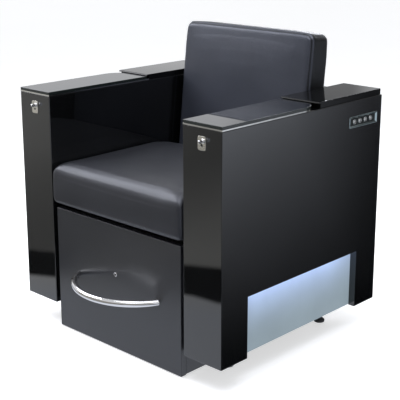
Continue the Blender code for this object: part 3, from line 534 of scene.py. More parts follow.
def settle(obj):
    """Apply an object's modifiers to its mesh."""
    bpy.context.view_layer.update()
    done = bpy.data.meshes.new_from_object(obj.evaluated_get(bpy.context.evaluated_depsgraph_get()))
    obj.modifiers.clear()
    old = obj.data
    obj.data = done
    done.name = obj.name
    bpy.data.meshes.remove(old)


def boolean(obj, bm, operation):
    """Cut a mesh out of a piece, or join it on, and keep only the result."""
    tool = linked("tool", bm)
    modifier = obj.modifiers.new("carve", "BOOLEAN")
    modifier.operation = operation
    modifier.object = tool
    settle(obj)
    bpy.data.objects.remove(tool)
    obj.data.set_sharp_from_angle(angle=math.radians(35))


def cut(obj, bm):
    boolean(obj, bm, "DIFFERENCE")


def join(obj, bm):
    boolean(obj, bm, "UNION")


# ---------------------------------------------------------------- arms

HUB_DROP = 0.0163           # how far the hub reaches below the lid's plate
HUB_RADIUS = 0.0150
HUB_BEVEL = 0.0007
HUB_BORE = 0.0061           # clears the pivot post by 0.1 mm
TONGUE_POCKET = (-0.285, -0.279)
CAP_LIP = 0.0047            # thickness of the lip over the swivel top
CAP_OVERHANG = 0.011
CAP_NOSE = 0.0043
THREAD_PITCH = 0.0015


def box_of(name):
    low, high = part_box(name)
    return Vector(low), Vector(high)


def swivel_outline(side, rear, steps=40):
    """Plan of a swivel top: square at the front, one swung corner, cut off at the rear."""
    front = box_of("swivel_top_right")[0].y
    inner, outer = PIVOT[0] - SWING_RADIUS, PIVOT[0] + SWING_RADIUS
    last = math.degrees(math.asin(min(1.0, (rear - PIVOT[1]) / SWING_RADIUS)))
    points = [(inner, front), (outer, front), *arc(PIVOT, SWING_RADIUS, 0, last, steps), (inner, rear)]
    return [(side * x, y) for x, y in points]


def swivel_tops(side, label):
    body = f"top_{label}"
    low, high = box_of(f"swivel_top_{label}")
    glass = prism(swivel_outline(side, high.y), "Z", low.z, high.z)
    piece(f"glass_top_{label}", glass, "top_glass", body, [f"swivel_top_{label}"], bevel=0.0010)

    low, high = box_of(f"swivel_plate_{label}")
    under = low.z + HUB_DROP
    post = (side * PIVOT[0], PIVOT[1], 0.0)
    sheet = prism(swivel_outline(side, high.y), "Z", under, high.z)
    plate = piece(f"lid_plate_{label}", sheet, "edge", body, [f"swivel_plate_{label}"])
    hub = [(0.0, low.z), (HUB_RADIUS - HUB_BEVEL, low.z), (HUB_RADIUS, low.z + HUB_BEVEL),
           (HUB_RADIUS, under + 0.002), (0.0, under + 0.002)]
    join(plate, lathe(hub, "Z", post))
    cut(plate, rod(HUB_BORE, low.z - 0.01, under + 0.0025, "Z", post))
    lever = lever_axis(label)[0]
    cut(plate, slab((lever - 0.008, TONGUE_POCKET[0], under - 0.01),
                    (lever + 0.024, TONGUE_POCKET[1], under + 0.0026)))
    soften(plate, 0.0005, 2)


def rear_caps(label):
    """Cap with a thin lip over the swivel top; the lip's nose is rounded."""
    low, high = box_of(f"rear_cap_{label}")
    lip = high.z - CAP_LIP
    block = low.y + CAP_OVERHANG
    outline = [(block, low.z), (high.y, low.z), (high.y, high.z)]
    outline += arc((low.y + CAP_NOSE, high.z - CAP_NOSE), CAP_NOSE, 90, 180, 12)
    outline += [(low.y, lip), (block, lip)]
    bm = prism(outline, "X", low.x, high.x)
    piece(f"cap_{label}", bm, "cap", "frame", [f"rear_cap_{label}"], bevel=0.0013)


def lever_axis(label):
    """The lever's spindle in x and z."""
    place = JOINTS[f"lever_{label}_turn"]["pos_m"]
    return place[0], place[2]


def locks(label):
    low, high = box_of(f"lock_plate_{label}")
    outline = rounded_rectangle((low.x, low.z), (high.x, high.z), 0.006, 10)
    plate = piece(f"lock_face_{label}", prism(outline, "Y", low.y, high.y), "steel", "frame",
                  [f"lock_plate_{label}"])
    keyhole = ((low.x + high.x) / 2, (low.z + high.z) / 2 - 0.006)
    for (x, z), radius in ((lever_axis(label), 0.0045), (keyhole, 0.0042)):
        cut(plate, rod(radius, -0.01, 0.01, "Y", (x, low.y, z)))
    soften(plate, 0.0004, 2)
    turn_lever(label, high.y + 0.0003)


def turn_lever(label, collar):
    """Flattened grip on a spindle, with a collar behind the plate and a tongue inside the arm."""
    axis_x, axis_z = lever_axis(label)
    low, high = box_of(f"lock_lever_{label}")
    front = low.y + 0.004
    profile = [(0.0, front + 0.006), (0.0030, front + 0.006), (0.0030, collar - 0.0062),
               (0.0050, collar - 0.0056), (0.0062, collar - 0.0048), (0.0065, collar - 0.0042),
               (0.0065, collar - 0.0023), (0.0041, collar - 0.0023), (0.0041, high.y), (0.0, high.y)]
    spindle = lathe(profile, "Y", (axis_x, 0.0, axis_z), 40)
    lever = piece(f"turn_lever_{label}", spindle, "chrome", f"lever_{label}", [f"lock_lever_{label}"])
    grip = rounded_rectangle((front, axis_z - 0.0045), (front + 0.011, axis_z + 0.0045), 0.0035, 8)
    join(lever, prism(grip, "X", axis_x - 0.0024, axis_x + 0.0024))
    join(lever, prism(finger((axis_x, axis_z), high.x, 0.006, 16), "Y", high.y - 0.003, high.y))
    soften(lever, 0.0004, 2)


def finger(root, tip, radius, steps):
    """Outline of a round-ended bar from its root to where its tip ends."""
    return arc((tip - radius, root[1]), radius, -90, 90, steps) + arc(root, radius, 90, 270, steps)


def trays(label):
    low, high = box_of(f"storage_tray_{label}")
    base, top = low.z, high.z
    flange = 0.0054
    # (inset from the well's edge, height, corner radius), up the outside and down the inside
    stages = [(0.0085, base, 0.0055), (0.0066, base + 0.0012, 0.0065), (0.006, base + 0.003, 0.007),
              (0.0007, top - 0.0019, 0.004), (-flange, top - 0.0019, 0.004), (-flange, top, 0.004),
              (0.0020, top, 0.0035), (0.0030, top - 0.0008, 0.003), (0.008, base + 0.006, 0.005),
              (0.0092, base + 0.0034, 0.0048), (0.0125, base + 0.002, 0.004)]
    well = [(low.x + flange, low.y + flange), (high.x - flange, high.y - flange)]
    piece(f"tray_{label}", stacked(*well, stages, 8), "plastic", "frame", [f"storage_tray_{label}"])


def feet(label):
    """Levelling feet: a round pad, a collar and a threaded stem."""
    for place in ("front", "rear"):
        name = f"foot_{place}_{label}"
        low, high = box_of(name)
        middle = (low + high) / 2
        radius = (high.x - low.x) / 2
        profile = [(0.0, 0.0), (radius - 0.0025, 0.0), (radius - 0.0007, 0.0007), (radius, 0.0025),
                   (radius, 0.0072), (radius - 0.0012, 0.0090), (0.010, 0.0135), (0.009, 0.0150),
                   (0.009, 0.0215), (0.0075, 0.0232), (0.0040, 0.0240)]
        for turn in range(int((high.z - 0.026) / THREAD_PITCH)):
            height = 0.025 + THREAD_PITCH * turn
            profile += [(0.0040, height), (0.0034, height + THREAD_PITCH / 2)]
        profile += [(0.0040, high.z - 0.0006), (0.0034, high.z), (0.0, high.z)]
        foot = lathe(profile, "Z", (middle.x, middle.y, 0.0), 32)
        piece(f"leveller_{place}_{label}", foot, "rubber", "frame", [name])


def light_fittings(side, label):
    """LED profile, a channel that stands over the light panel's top edge."""
    low, high = box_of(f"led_profile_{label}")
    outer = high.x if side > 0 else -low.x
    inner = outer - (high.x - low.x)
    sheet = 0.0015
    under = high.z - 2 * sheet
    outline = [(outer, low.z), (outer, high.z), (inner, high.z), (inner, low.z), (inner + sheet, low.z),
               (inner + sheet, under), (outer - sheet, under), (outer - sheet, low.z)]
    bm = prism([(side * x, z) for x, z in outline], "Y", low.y, high.y)
    piece(f"led_rail_{label}", bm, "aluminium", "frame", [f"led_profile_{label}"], bevel=0.0003)


def screw(name, place, axis, body, radius=0.0035):
    """Cross-recessed pan-head screw standing on a face, its axis pointing out of it."""
    height = 0.0016
    profile = [(0.0, -0.0002), (radius, -0.0002), (radius, height * 0.45)]
    for step in range(1, 6):
        angle = math.radians(90 * step / 6)
        profile.append((radius * (0.35 + 0.65 * math.cos(angle)), height * (0.45 + 0.55 * math.sin(angle))))
    profile.append((0.0, height))
    outward = Vector([float(letter == axis[-1]) for letter in "XYZ"])
    if axis.startswith("-"):
        outward.negate()
    turn = Vector((0, 0, 1)).rotation_difference(outward).to_matrix().to_4x4()
    seat = Matrix.Translation(place) @ turn
    bm = lathe(profile, "Z", segments=24)
    bmesh.ops.transform(bm, matrix=seat, verts=bm.verts)
    head = piece(name, bm, "zinc", body)
    for half in ((radius * 0.13, radius * 0.62), (radius * 0.62, radius * 0.13)):
        tool = slab((-half[0], -half[1], height * 0.35), (half[0], half[1], height * 2))
        bmesh.ops.transform(tool, matrix=seat, verts=tool.verts)
        cut(head, tool)


def build_arms():
    dress("lacquer", *both("arm_shell"))
    dress("board", *both("arm_bottom"))
    dress("light", *both("light_panel"))
    dress("zinc", *both("pivot_post"))
    for name in both("arm_shell", "arm_bottom", "light_panel"):
        refine_node(name, 0.0006)
    for side, label in SIDES:
        swivel_tops(side, label)
        rear_caps(label)
        locks(label)
        trays(label)
        feet(label)
        light_fittings(side, label)
        low, high = box_of(f"arm_bottom_{label}")
        for row, y in enumerate((-0.26, -0.03, 0.16, 0.36)):
            for column, x in enumerate((low.x + 0.012, high.x - 0.012)):
                screw(f"bottom_screw_{label}_{row}{column}", (x, y, low.z), "-Z", "frame")


# ---------------------------------------------------------------- control panel

def control_panel():
    low, high = box_of("control_bezel")
    back, top = low.x, high.x
    # (x, inset) round the bevelled frame, from the back outside to the back inside
    stages = [(back, 0.0), (top - 0.0009, 0.0), (top - 0.0003, 0.0004), (top, 0.0011), (top - 0.0001, 0.0019),
              (top - 0.0007, 0.0027), (back + 0.0012, 0.0056), (back + 0.0008, 0.006), (back, 0.006)]
    bm = bmesh.new()
    rings = []
    for x, inset in stages:
        outline = rounded_rectangle((low.y + inset, low.z + inset), (high.y - inset, high.z - inset),
                                    max(0.0004, 0.0022 - inset * 0.2), 4)
        rings.append([bm.verts.new((x, y, z)) for y, z in outline])
    skin(bm, rings, close=False)
    piece("bezel", bm, "bezel", "frame", ["control_bezel"], smooth=22)

    low, high = box_of("control_plate")
    plate = piece("panel_face", slab(low, high), "glass", "frame", ["control_plate"])
    for number in range(1, 5):
        button(number, plate)
    soften(plate, 0.0002, 2)
    dress("plastic", "control_box")


def button(number, plate):
    """Spun cap with a raised rim and a shallow dish, on its stem, in a hole of the plate."""
    low, high = box_of(f"button_{number}")
    rear, top = low.x, high.x
    middle = (low + high) / 2
    radius = (high.y - low.y) / 2
    axis = (0.0, middle.y, middle.z)
    cut(plate, rod(radius + 0.0003, top - 0.02, top + 0.01, "X", axis))
    rim = arc((radius - 0.0008, top - 0.0011), 0.0008, 0, 90, 3)
    profile = [(0.0, rear), (0.004, rear), (0.004, top - 0.0082), (radius, top - 0.0082), *rim,
               (radius - 0.0014, top - 0.0003), (radius - 0.0018, top - 0.0007),
               (radius - 0.0026, top - 0.0006), (radius * 0.45, top - 0.00015), (0.0, top)]
    piece(f"button_cap_{number}", lathe(profile, "X", axis, 48), "silver", f"button_{number}",
          [f"button_{number}"], smooth=30)


# ---------------------------------------------------------------- drawer

BASIN_FLOOR = 0.135
BASIN_WALL = 0.004
FORK_SHEET = 0.0025


def handle():
    low, high = box_of("handle_bar")
    radius = (high.z - low.z) / 2
    level = (high.z + low.z) / 2
    half_span = high.x
    depth = high.y - low.y
    # outer radius of the bow from its span and depth where the drawer front cuts it off
    outer = (half_span ** 2 + depth ** 2) / (2 * depth)
    bend = outer - radius
    centre_y = low.y + outer
    sweep = math.degrees(math.acos((centre_y - high.y) / outer)) + 4.0
    steps, sides = 96, 40
    section = [math.tau * turn / sides for turn in range(sides)]
    bm = bmesh.new()
    rings = []
    for step in range(steps + 1):
        angle = math.radians(-90 - sweep + 2 * sweep * step / steps)
        ring = []
        for around in section:
            reach = bend + radius * math.cos(around)
            ring.append(bm.verts.new((reach * math.cos(angle), centre_y + reach * math.sin(angle),
                                      level + radius * math.sin(around))))
        rings.append(ring)
    skin(bm, rings)
    bar = piece("handle_bow", bm, "chrome", "drawer", ["handle_bar"], smooth=40)
    cut(bar, slab((-0.3, high.y, 0.1), (0.3, high.y + 0.2, 0.3)))


def cylinder_lock():
    low, high = box_of("drawer_lock")
    radius = 0.0065
    level = low.z + radius
    profile = [(0.0, low.y), (0.0040, low.y), (0.0042, low.y + 0.0004), (0.0050, low.y + 0.0004),
               (radius - 0.0008, low.y), (radius - 0.0002, low.y + 0.0003), (radius, low.y + 0.001),
               (radius, FRONT_Y - 0.0003), (0.0050, FRONT_Y - 0.0003), (0.0050, high.y), (0.0, high.y)]
    lock = piece("lock_barrel", lathe(profile, "Y", (0.0, 0.0, level), 48), "chrome", "lock_cylinder",
                 ["drawer_lock"], smooth=30)
    cut(lock, slab((-0.0005, low.y - 0.01, level - 0.0026), (0.0005, low.y + 0.002, level + 0.0026)))
    join(lock, prism(finger((0.0, level), high.x, 0.0055, 12), "Y", high.y - 0.004, high.y - 0.001))


def tub():
    """Moulded basin: rolled rim, drafted walls, coved floor with foot ribs and a divider."""
    low, high = box_of("foot_basin")
    rim_z = high.z
    outer = ((low.x, low.y), (high.x, high.y))
    rim = ((-0.234, FRONT_Y + 0.044), (0.234, FRONT_Y + 0.400))
    depth = rim_z - BASIN_FLOOR
    # (inset from the rim opening, depth below the rim, corner radius) down the inside
    inside = [(-0.006, 0.0, 0.066), (-0.0032, 0.0004, 0.0636), (-0.0010, 0.0020, 0.0615),
              (0.0005, 0.0050, 0.0602), (0.0012, 0.0080, 0.060), (0.010, 0.090, 0.058),
              (0.019, depth - 0.035, 0.056), (0.0215, depth - 0.024, 0.0545), (0.026, depth - 0.014, 0.052),
              (0.031, depth - 0.0078, 0.048), (0.038, depth - 0.004, 0.044), (0.046, depth - 0.0014, 0.039),
              (0.056, depth, 0.034)]
    bm = bmesh.new()
    rings = []

    def ring(rectangle, inset, height, radius):
        (x0, y0), (x1, y1) = rectangle
        outline = rounded_rectangle((x0 + inset, y0 + inset), (x1 - inset, y1 - inset), radius, 12)
        rings.append([bm.verts.new((x, y, height)) for x, y in outline])

    for inset, down, radius in reversed(inside[4:]):
        lower = BASIN_WALL if inset > 0.03 else BASIN_WALL * 0.5
        ring(rim, inset - BASIN_WALL, rim_z - down - lower, radius + BASIN_WALL)
    ring(rim, -BASIN_WALL - 0.001, rim_z - 0.005, 0.066)
    for inset, down, radius in ((0.0, 0.005, 0.010), (0.0, 0.0015, 0.010), (0.0005, 0.0005, 0.0097),
                                (0.0015, 0.0, 0.009)):
        ring(outer, inset, rim_z - down, radius)
    for inset, down, radius in inside:
        ring(rim, inset, rim_z - down, radius)
    skin(bm, rings)
    basin = piece("basin_tub", bm, "basin", "drawer", ["foot_basin"], smooth=40)
    ribs(basin)
    drain_low, drain_high = box_of("basin_drain")
    drain_y = (drain_low.y + drain_high.y) / 2
    cut(basin, rod(0.0185, BASIN_FLOOR - 0.02, BASIN_FLOOR + 0.02, "Z", (0.0, drain_y, 0.0)))
    strainer(drain_y)


def ribs(basin):
    """Four foot ribs either side of a divider, moulded into the basin's floor."""
    root = BASIN_FLOOR - 0.002
    for side in (-1, 1):
        for number in range(4):
            y = FRONT_Y + 0.108 + 0.048 * number
            section = arc((y, BASIN_FLOOR), 0.007, 0, 180, 16) + [(y - 0.007, root), (y + 0.007, root)]
            join(basin, prism(section, "X", *sorted((side * 0.045, side * 0.145))))
    crest = arc((0.0, BASIN_FLOOR + 0.022), 0.008, 0, 180, 16) + [(-0.014, root), (0.014, root)]
    join(basin, prism(crest, "Y", FRONT_Y + 0.102, FRONT_Y + 0.262))


def strainer(y):
    low, high = box_of("basin_drain")
    top = high.z
    radius = (high.x - low.x) / 2
    seat = BASIN_FLOOR + 0.0003
    profile = [(0.0, top - 0.002), (0.0155, top - 0.002), (0.0172, top - 0.0011), (0.0180, top - 0.0002),
               (0.0186, top), (radius - 0.0035, top), (radius - 0.0012, top - 0.0004), (radius, seat),
               (0.0178, seat), (0.0178, 0.100), (0.0150, 0.098), (0.0150, low.z), (0.0125, low.z),
               (0.0125, top - 0.004), (0.0, top - 0.004)]
    drain = piece("strainer", lathe(profile, "Z", (0.0, y, 0.0)), "chrome", "drawer",
                  ["basin_drain"], smooth=30)
    for number in range(6):
        angle = math.tau * number / 6
        place = (0.0075 * math.cos(angle), y + 0.0075 * math.sin(angle), 0.0)
        cut(drain, rod(0.0023, top - 0.010, top + 0.01, "Z", place, 20))


def pump():
    """Motor with a ribbed barrel, the volute with its outlet, and the foot they stand on."""
    low, high = box_of("whirl_pump")
    y = 0.160
    base = low.z
    z = base - 0.0003 + 0.052
    profile = [(0.0, -0.110), (0.024, -0.110), (0.0255, -0.1095), (0.033, -0.103)]
    for rib in range(9):
        x = -0.095 + 0.0105 * rib
        profile += [(0.033, x), (0.0315, x + 0.0012), (0.0315, x + 0.0024), (0.033, x + 0.0036)]
    profile += [(0.033, 0.005), (0.042, 0.010), (0.042, 0.0345), (0.0405, 0.0375), (0.036, 0.042),
                (0.016, 0.042), (0.014, 0.044), (0.014, 0.066), (0.013, 0.068), (0.0, 0.068)]
    body = piece("pump_body", lathe(profile, "X", (0.0, y, z)), "plastic", "drawer", ["whirl_pump"])
    spout = [(0.0, z - 0.0032), (0.012, z - 0.0032), (0.012, high.z - 0.001), (0.011, high.z), (0.0, high.z)]
    join(body, lathe(spout, "Z", (0.0235, y + 0.0205, 0.0), 40))
    join(body, slab((-0.090, y - 0.034, base), (0.0, y + 0.034, base + 0.0057)))
    join(body, slab((-0.080, y - 0.012, base + 0.003), (-0.010, y + 0.012, z - 0.0043)))
    places = [(x, y + dy) for x in (-0.082, -0.008) for dy in (-0.027, 0.027)]
    for number, place in enumerate(places):
        screw(f"pump_screw_{number}", (*place, base + 0.0057), "Z", "drawer", 0.003)


def castors(label):
    low, high = box_of(f"castor_wheel_{label}")
    x, y, z = (low + high) / 2
    radius = (high.z - low.z) / 2
    half = (high.x - low.x) / 2
    face = [(0.0041, half), (0.0088, half), (0.0092, half - 0.0004), (0.0100, 0.0060), (0.0157, 0.0060),
            (0.0163, 0.0075), (0.0170, 0.0085), (radius - 0.0026, 0.0085), (radius - 0.0012, 0.0079),
            (radius - 0.0003, 0.0067), (radius, 0.0050)]
    profile = [(reach, -across) for reach, across in face] + list(reversed(face))
    piece(f"wheel_{label}", lathe(profile, "X", (x, y, z)), "rubber", f"castor_{label}",
          [f"castor_wheel_{label}"], smooth=30)

    top = box_of(f"castor_fork_{label}")[1].z
    ear = half + 0.0012
    plate = rounded_rectangle((x - 0.022, y - 0.026), (x + 0.022, y + 0.026), 0.004, 6)
    fork = piece(f"fork_{label}", prism(plate, "Z", top - FORK_SHEET, top), "zinc", "drawer",
                 [f"castor_fork_{label}"])
    outline = arc((y, z), 0.009, 180, 360, 20) + [(y + 0.020, top - 0.001), (y - 0.020, top - 0.001)]
    for side in (-1, 1):
        join(fork, prism(outline, "X", *sorted((x + side * ear, x + side * (ear + FORK_SHEET)))))
    reach = ear + FORK_SHEET + 0.002
    axle = [(0.0, -reach), (0.0034, -reach), (0.0040, -reach + 0.0006), (0.0040, reach - 0.0006),
            (0.0034, reach), (0.0, reach)]
    join(fork, lathe(axle, "X", (x, y, z), 40))
    soften(fork, 0.0005, 2)


def build_drawer():
    dress("satin", "drawer_front", *both("drawer_side"))
    dress("board", "drawer_floor", "drawer_back")
    dress("zinc", *both("slide_outer", "slide_middle", "slide_inner"))
    refine_node("drawer_front", 0.0006)
    for name in ("drawer_floor", "drawer_back", *both("drawer_side")):
        refine_node(name, 0.0005)
    handle()
    cylinder_lock()
    tub()
    pump()
    for side, label in SIDES:
        castors(label)
        low, high = box_of(f"drawer_side_{label}")
        inner, axis = (high.x, "X") if side < 0 else (low.x, "-X")
        for row, z in enumerate((0.110, 0.300)):
            screw(f"side_screw_{label}_{row}", (inner, 0.196, z), axis, "drawer", 0.003)


# ---------------------------------------------------------------- seat unit

def gland():
    """Cable gland: a nut on the panel's face and a clamping dome with its ribs, bored for the cable."""
    low, high = box_of("cable_gland")
    x, z = (low.x + high.x) / 2, (low.z + high.z) / 2
    face = high.y - 0.0175
    profile = [(0.0035, low.y), (0.0072, low.y), (0.0080, low.y + 0.0008), (0.0080, face), (0.0125, face),
               (0.0125, face + 0.0052), (0.0118, face + 0.0060), (0.0104, face + 0.0064)]
    for step in range(9):
        ridge = 0.0004 if step % 2 else 0.0
        profile.append((0.0100 - 0.0001 * step + ridge, face + 0.0068 + 0.0009 * step))
    profile += [(0.0085, face + 0.0155), (0.0060, high.y), (0.0042, high.y), (0.0035, high.y - 0.0006)]
    piece("gland", lathe(profile, "Y", (x, 0.0, z), 48), "plastic", "frame", ["cable_gland"], smooth=30)


def build_seat_unit():
    dress("board", "seat_deck", "back_board")
    dress("lacquer", "rear_panel", "rear_shelf")
    for name in ("seat_deck", "back_board", "rear_panel", "rear_shelf"):
        refine_node(name, 0.0006)
    gland()
    low, high = box_of("rear_panel")
    for row, z in enumerate((0.110, 0.300, 0.490, 0.680)):
        for column, x in enumerate((low.x + 0.014, high.x - 0.014)):
            screw(f"panel_screw_{row}{column}", (x, high.y, z), "Y", "frame")


# ---------------------------------------------------------------- cushions

VOXEL = 0.006               # size of the even mesh
SEAM_STEP = 0.004
SEAM_HOLD = 0.012           # how far from a seam the leather is held back
SEAT_CORNER, SEAT_TOP_EDGE, SEAT_BASE_EDGE = 0.012, 0.040, 0.014
SEAT_REAR_DROP, SEAT_REAR_LENGTH = 0.016, 0.10
SEAT_CLEAR = 0.2785         # half of the width that the seat may fill between the arms
# from the back cushion's own upright space to its place
BACK_TILT = Matrix.Translation((0.0, 0.2836, 0.6643)) @ Matrix.Rotation(math.radians(-6.5), 4, "X")
BACK_HALF = Vector((0.268, 0.0475, 0.252))
BACK_CORNER = 0.036


def padded_block(low, high, corner, top, base, steps=6):
    """A block with rounded edges, whose upright corners round off more at its top and its base."""
    quarter = [math.radians(90 * step / steps) for step in range(steps + 1)]
    # (inset, height) from the base outwards, up and in over the top
    stages = [(base * (1 - math.sin(turn)), low.z + base * (1 - math.cos(turn))) for turn in quarter]
    stages += [(top * (1 - math.cos(turn)), high.z - top * (1 - math.sin(turn))) for turn in quarter]
    return stacked(low, high, [(inset, height, corner + 0.35 * inset) for inset, height in stages], 10)


def sink_rear(bm, low, high):
    """Let the top of the seat fall away where the back cushion presses on it."""
    everything = bm.verts[:] + bm.edges[:] + bm.faces[:]
    bmesh.ops.bisect_plane(bm, geom=everything, plane_co=(0.0, high.y - SEAT_REAR_LENGTH, 0.0),
                           plane_no=(0.0, 1.0, 0.0))
    for vert in bm.verts:
        share = max(0.0, (vert.co.y - high.y + SEAT_REAR_LENGTH) / SEAT_REAR_LENGTH)
        height = max(0.0, (vert.co.z - low.z) / (high.z - low.z))
        vert.co.z -= SEAT_REAR_DROP * share * height


def drawn_in(node_name, shrink):
    """A copy of a CAD cushion, drawn in towards its middle."""
    low, high = box_of(node_name)
    middle = (low + high) / 2
    bm = bmesh.new()
    bm.from_mesh(NODES[node_name].data)
    for vert in bm.verts:
        vert.co = middle + Vector((vert.co[i] - middle[i]) * (1 - shrink[i]) for i in range(3))
    return bm


def remeshed(name, bm, look):
    """A cushion's form in an even, fine mesh."""
    obj = linked(name, bm)
    obj.data.materials.append(LOOKS[look])
    modifier = obj.modifiers.new("remesh", "REMESH")
    modifier.mode = "VOXEL"
    modifier.voxel_size = VOXEL
    modifier.use_smooth_shade = True
    settle(obj)
    return obj


def swell(obj, held, pressure, cap, rounds, frames=20):
    """Fill a cushion with air for a few frames; held gives how firmly each point stays put.

    The way each point moved is capped and evened out with its neighbours', as taut leather irons
    out folds.
    """
    start = np.array([vert.co for vert in obj.data.vertices])
    group = obj.vertex_groups.new(name="held")
    for vert in obj.data.vertices:
        group.add([vert.index], held(vert.co), "REPLACE")
    cloth = obj.modifiers.new("fill", "CLOTH")
    options = {"quality": 5, "mass": 0.35, "tension_stiffness": 22, "compression_stiffness": 22,
               "shear_stiffness": 10, "bending_stiffness": 3, "use_pressure": True,
               "uniform_pressure_force": pressure, "vertex_group_mass": "held", "pin_stiffness": 1.0}
    for option, value in options.items():
        setattr(cloth.settings, option, value)
    cloth.settings.effector_weights.gravity = 0
    cloth.point_cache.frame_start = 1
    cloth.point_cache.frame_end = frames
    scene = bpy.context.scene
    for frame_number in range(1, frames + 1):
        scene.frame_set(frame_number)
    bpy.context.view_layer.update()
    moved = obj.evaluated_get(bpy.context.evaluated_depsgraph_get()).to_mesh()
    steps = np.array([vert.co for vert in moved.vertices]) - start
    obj.modifiers.remove(cloth)
    obj.vertex_groups.clear()
    scene.frame_set(1)
    reach = np.maximum(np.linalg.norm(steps, axis=1), 1e-9)
    steps *= np.minimum(1.0, cap / reach)[:, None]
    for vert, before, step in zip(obj.data.vertices, start, evened_out(obj, steps, rounds)):
        vert.co = before + step


def evened_out(obj, steps, rounds):
    """Average each point's step with its neighbours', several times over."""
    edges = np.array([edge.vertices[:] for edge in obj.data.edges])
    first, second = edges[:, 0], edges[:, 1]
    counts = 1 + np.bincount(edges.ravel(), minlength=len(steps))
    for _ in range(rounds):
        total = steps.copy()
        np.add.at(total, first, steps[second])
        np.add.at(total, second, steps[first])
        steps = total / counts[:, None]
    return steps


def subdivide(obj):
    modifier = obj.modifiers.new("smooth", "SUBSURF")
    modifier.levels = 1
    modifier.render_levels = 1
    settle(obj)
    obj.data.shade_smooth()


def on_surface(obj, points):
    """Move a path onto a cushion's skin; returns its points and the skin's normals there."""
    tree = BVHTree.FromObject(obj, bpy.context.evaluated_depsgraph_get())
    found = [tree.find_nearest(point) for point in points]
    return [hit[0] for hit in found], [hit[1] for hit in found]


def nearest_to(points):
    """A function that gives how far a place is from the nearest of some points."""
    tree = KDTree(len(points))
    for index, point in enumerate(points):
        tree.insert(point, index)
    tree.balance()
    return lambda place: tree.find(place)[2]


def groove(obj, path, width, depth):
    """Press a seam into a cushion's skin along a path."""
    distance_to = nearest_to(path)
    normals = [vert.normal.copy() for vert in obj.data.vertices]
    for vert, normal in zip(obj.data.vertices, normals):
        distance = distance_to(vert.co)
        if distance < 3 * width:
            vert.co -= normal * depth * math.exp(-(distance / width) ** 2)
    obj.data.update()


def dense(points, spacing=SEAM_STEP):
    """Points at even spacing round a closed path."""
    made = []
    for first, second in zip(points, points[1:] + points[:1]):
        steps = max(1, round((second - first).length / spacing))
        made += [first.lerp(second, step / steps) for step in range(steps)]
    return made


def smoothed(points, rounds):
    """A closed path with each point drawn towards its neighbours, several times over."""
    for _ in range(rounds):
        after = points[1:] + points[:1]
        points = [(points[i - 1] + points[i] * 2 + after[i]) / 4 for i in range(len(points))]
    return points


def welt(name, obj, path, radius, sink, look):
    """Piping laid along a seam of a cushion."""
    points, normals = on_surface(obj, path)
    points = [point - normal * sink for point, normal in zip(points, normals)]
    piece(name, tube(smoothed(points, 3), radius), look, "frame", smooth=80)


def filled(obj, seams, rests, pressure, cap, rounds):
    """Swell a cushion that is held along its seams and wherever it rests on something."""
    sewn = [point for seam in seams for point in on_surface(obj, seam)[0]]
    distance_to = nearest_to(sewn)

    def held(point):
        return max(1 - distance_to(point) / SEAM_HOLD, rests(point), 0.0)

    swell(obj, held, pressure, cap, rounds)
    subdivide(obj)


def finish_cushion(obj, node_name):
    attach(obj, "frame")
    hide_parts(node_name)


def seat_cushion():
    name = "seat_cushion"
    low, high = box_of(name)
    start_low = low + Vector((0.0010, -0.0080, 0.0))
    start_high = high - Vector((0.0010, 0.0060, 0.0085))
    form = padded_block(start_low, start_high, SEAT_CORNER, SEAT_TOP_EDGE, SEAT_BASE_EDGE)
    sink_rear(form, start_low, start_high)
    obj = remeshed("seat_pad", form, "seat")
    inset = 0.015
    ring = rounded_rectangle((start_low.y + inset, start_low.z + inset),
                             (start_high.y - inset, start_high.z - inset), 0.024, 12)
    seams = [dense([Vector((x, y, z)) for y, z in ring]) for x in (start_low.x, start_high.x)]
    filled(obj, seams, lambda point: float(point.z < low.z + 0.010), 2.5, 0.006, 40)
    for vert in obj.data.vertices:
        vert.co.z = max(vert.co.z, low.z + 0.0001)
        vert.co.x = max(-SEAT_CLEAR, min(SEAT_CLEAR, vert.co.x))
    for seam in seams:
        groove(obj, on_surface(obj, seam)[0], 0.0035, 0.0018)
    finish_cushion(obj, name)
    for seam, (side, label) in zip(seams, SIDES):
        welt(f"seat_welt_{label}", obj, seam, 0.0016, 0.0006, "seat")


def back_cushion():
    name = "back_cushion"
    obj = remeshed("back_pad", drawn_in(name, (0.008, 0.05, 0.008)), "back")
    inset = 0.006
    reach = (BACK_HALF.x - inset, BACK_HALF.z - inset)
    ring = rounded_rectangle((-reach[0], -reach[1]), reach, BACK_CORNER - inset, 12)
    front, rear = (dense([BACK_TILT @ Vector((x, y, z)) for x, z in ring])
                   for y in (inset - BACK_HALF.y, BACK_HALF.y - inset))
    upright = BACK_TILT.inverted()
    filled(obj, (front, rear), lambda point: float((upright @ point).y > BACK_HALF.y - 0.014), 3.0, 0.009, 40)
    groove(obj, on_surface(obj, front)[0], 0.0045, 0.0032)
    groove(obj, on_surface(obj, rear)[0], 0.0035, 0.0020)
    finish_cushion(obj, name)
    welt("back_welt_front", obj, front, 0.0020, 0.0004, "welt")
    welt("back_welt_rear", obj, rear, 0.0018, 0.0004, "welt")


# ---------------------------------------------------------------- stage

FLOOR_COLOUR = (0.80, 0.80, 0.81, 1.0)
FLOOR_REACH = 14.0
CAMERA_AT = (2.05415, -2.10815, 1.28050)
CAMERA_RIGHT = (0.72582, 0.68788, 0.0)
CAMERA_UP = (-0.17002, 0.17940, 0.96897)
CAMERA_BACK = (0.66654, -0.70330, 0.24716)


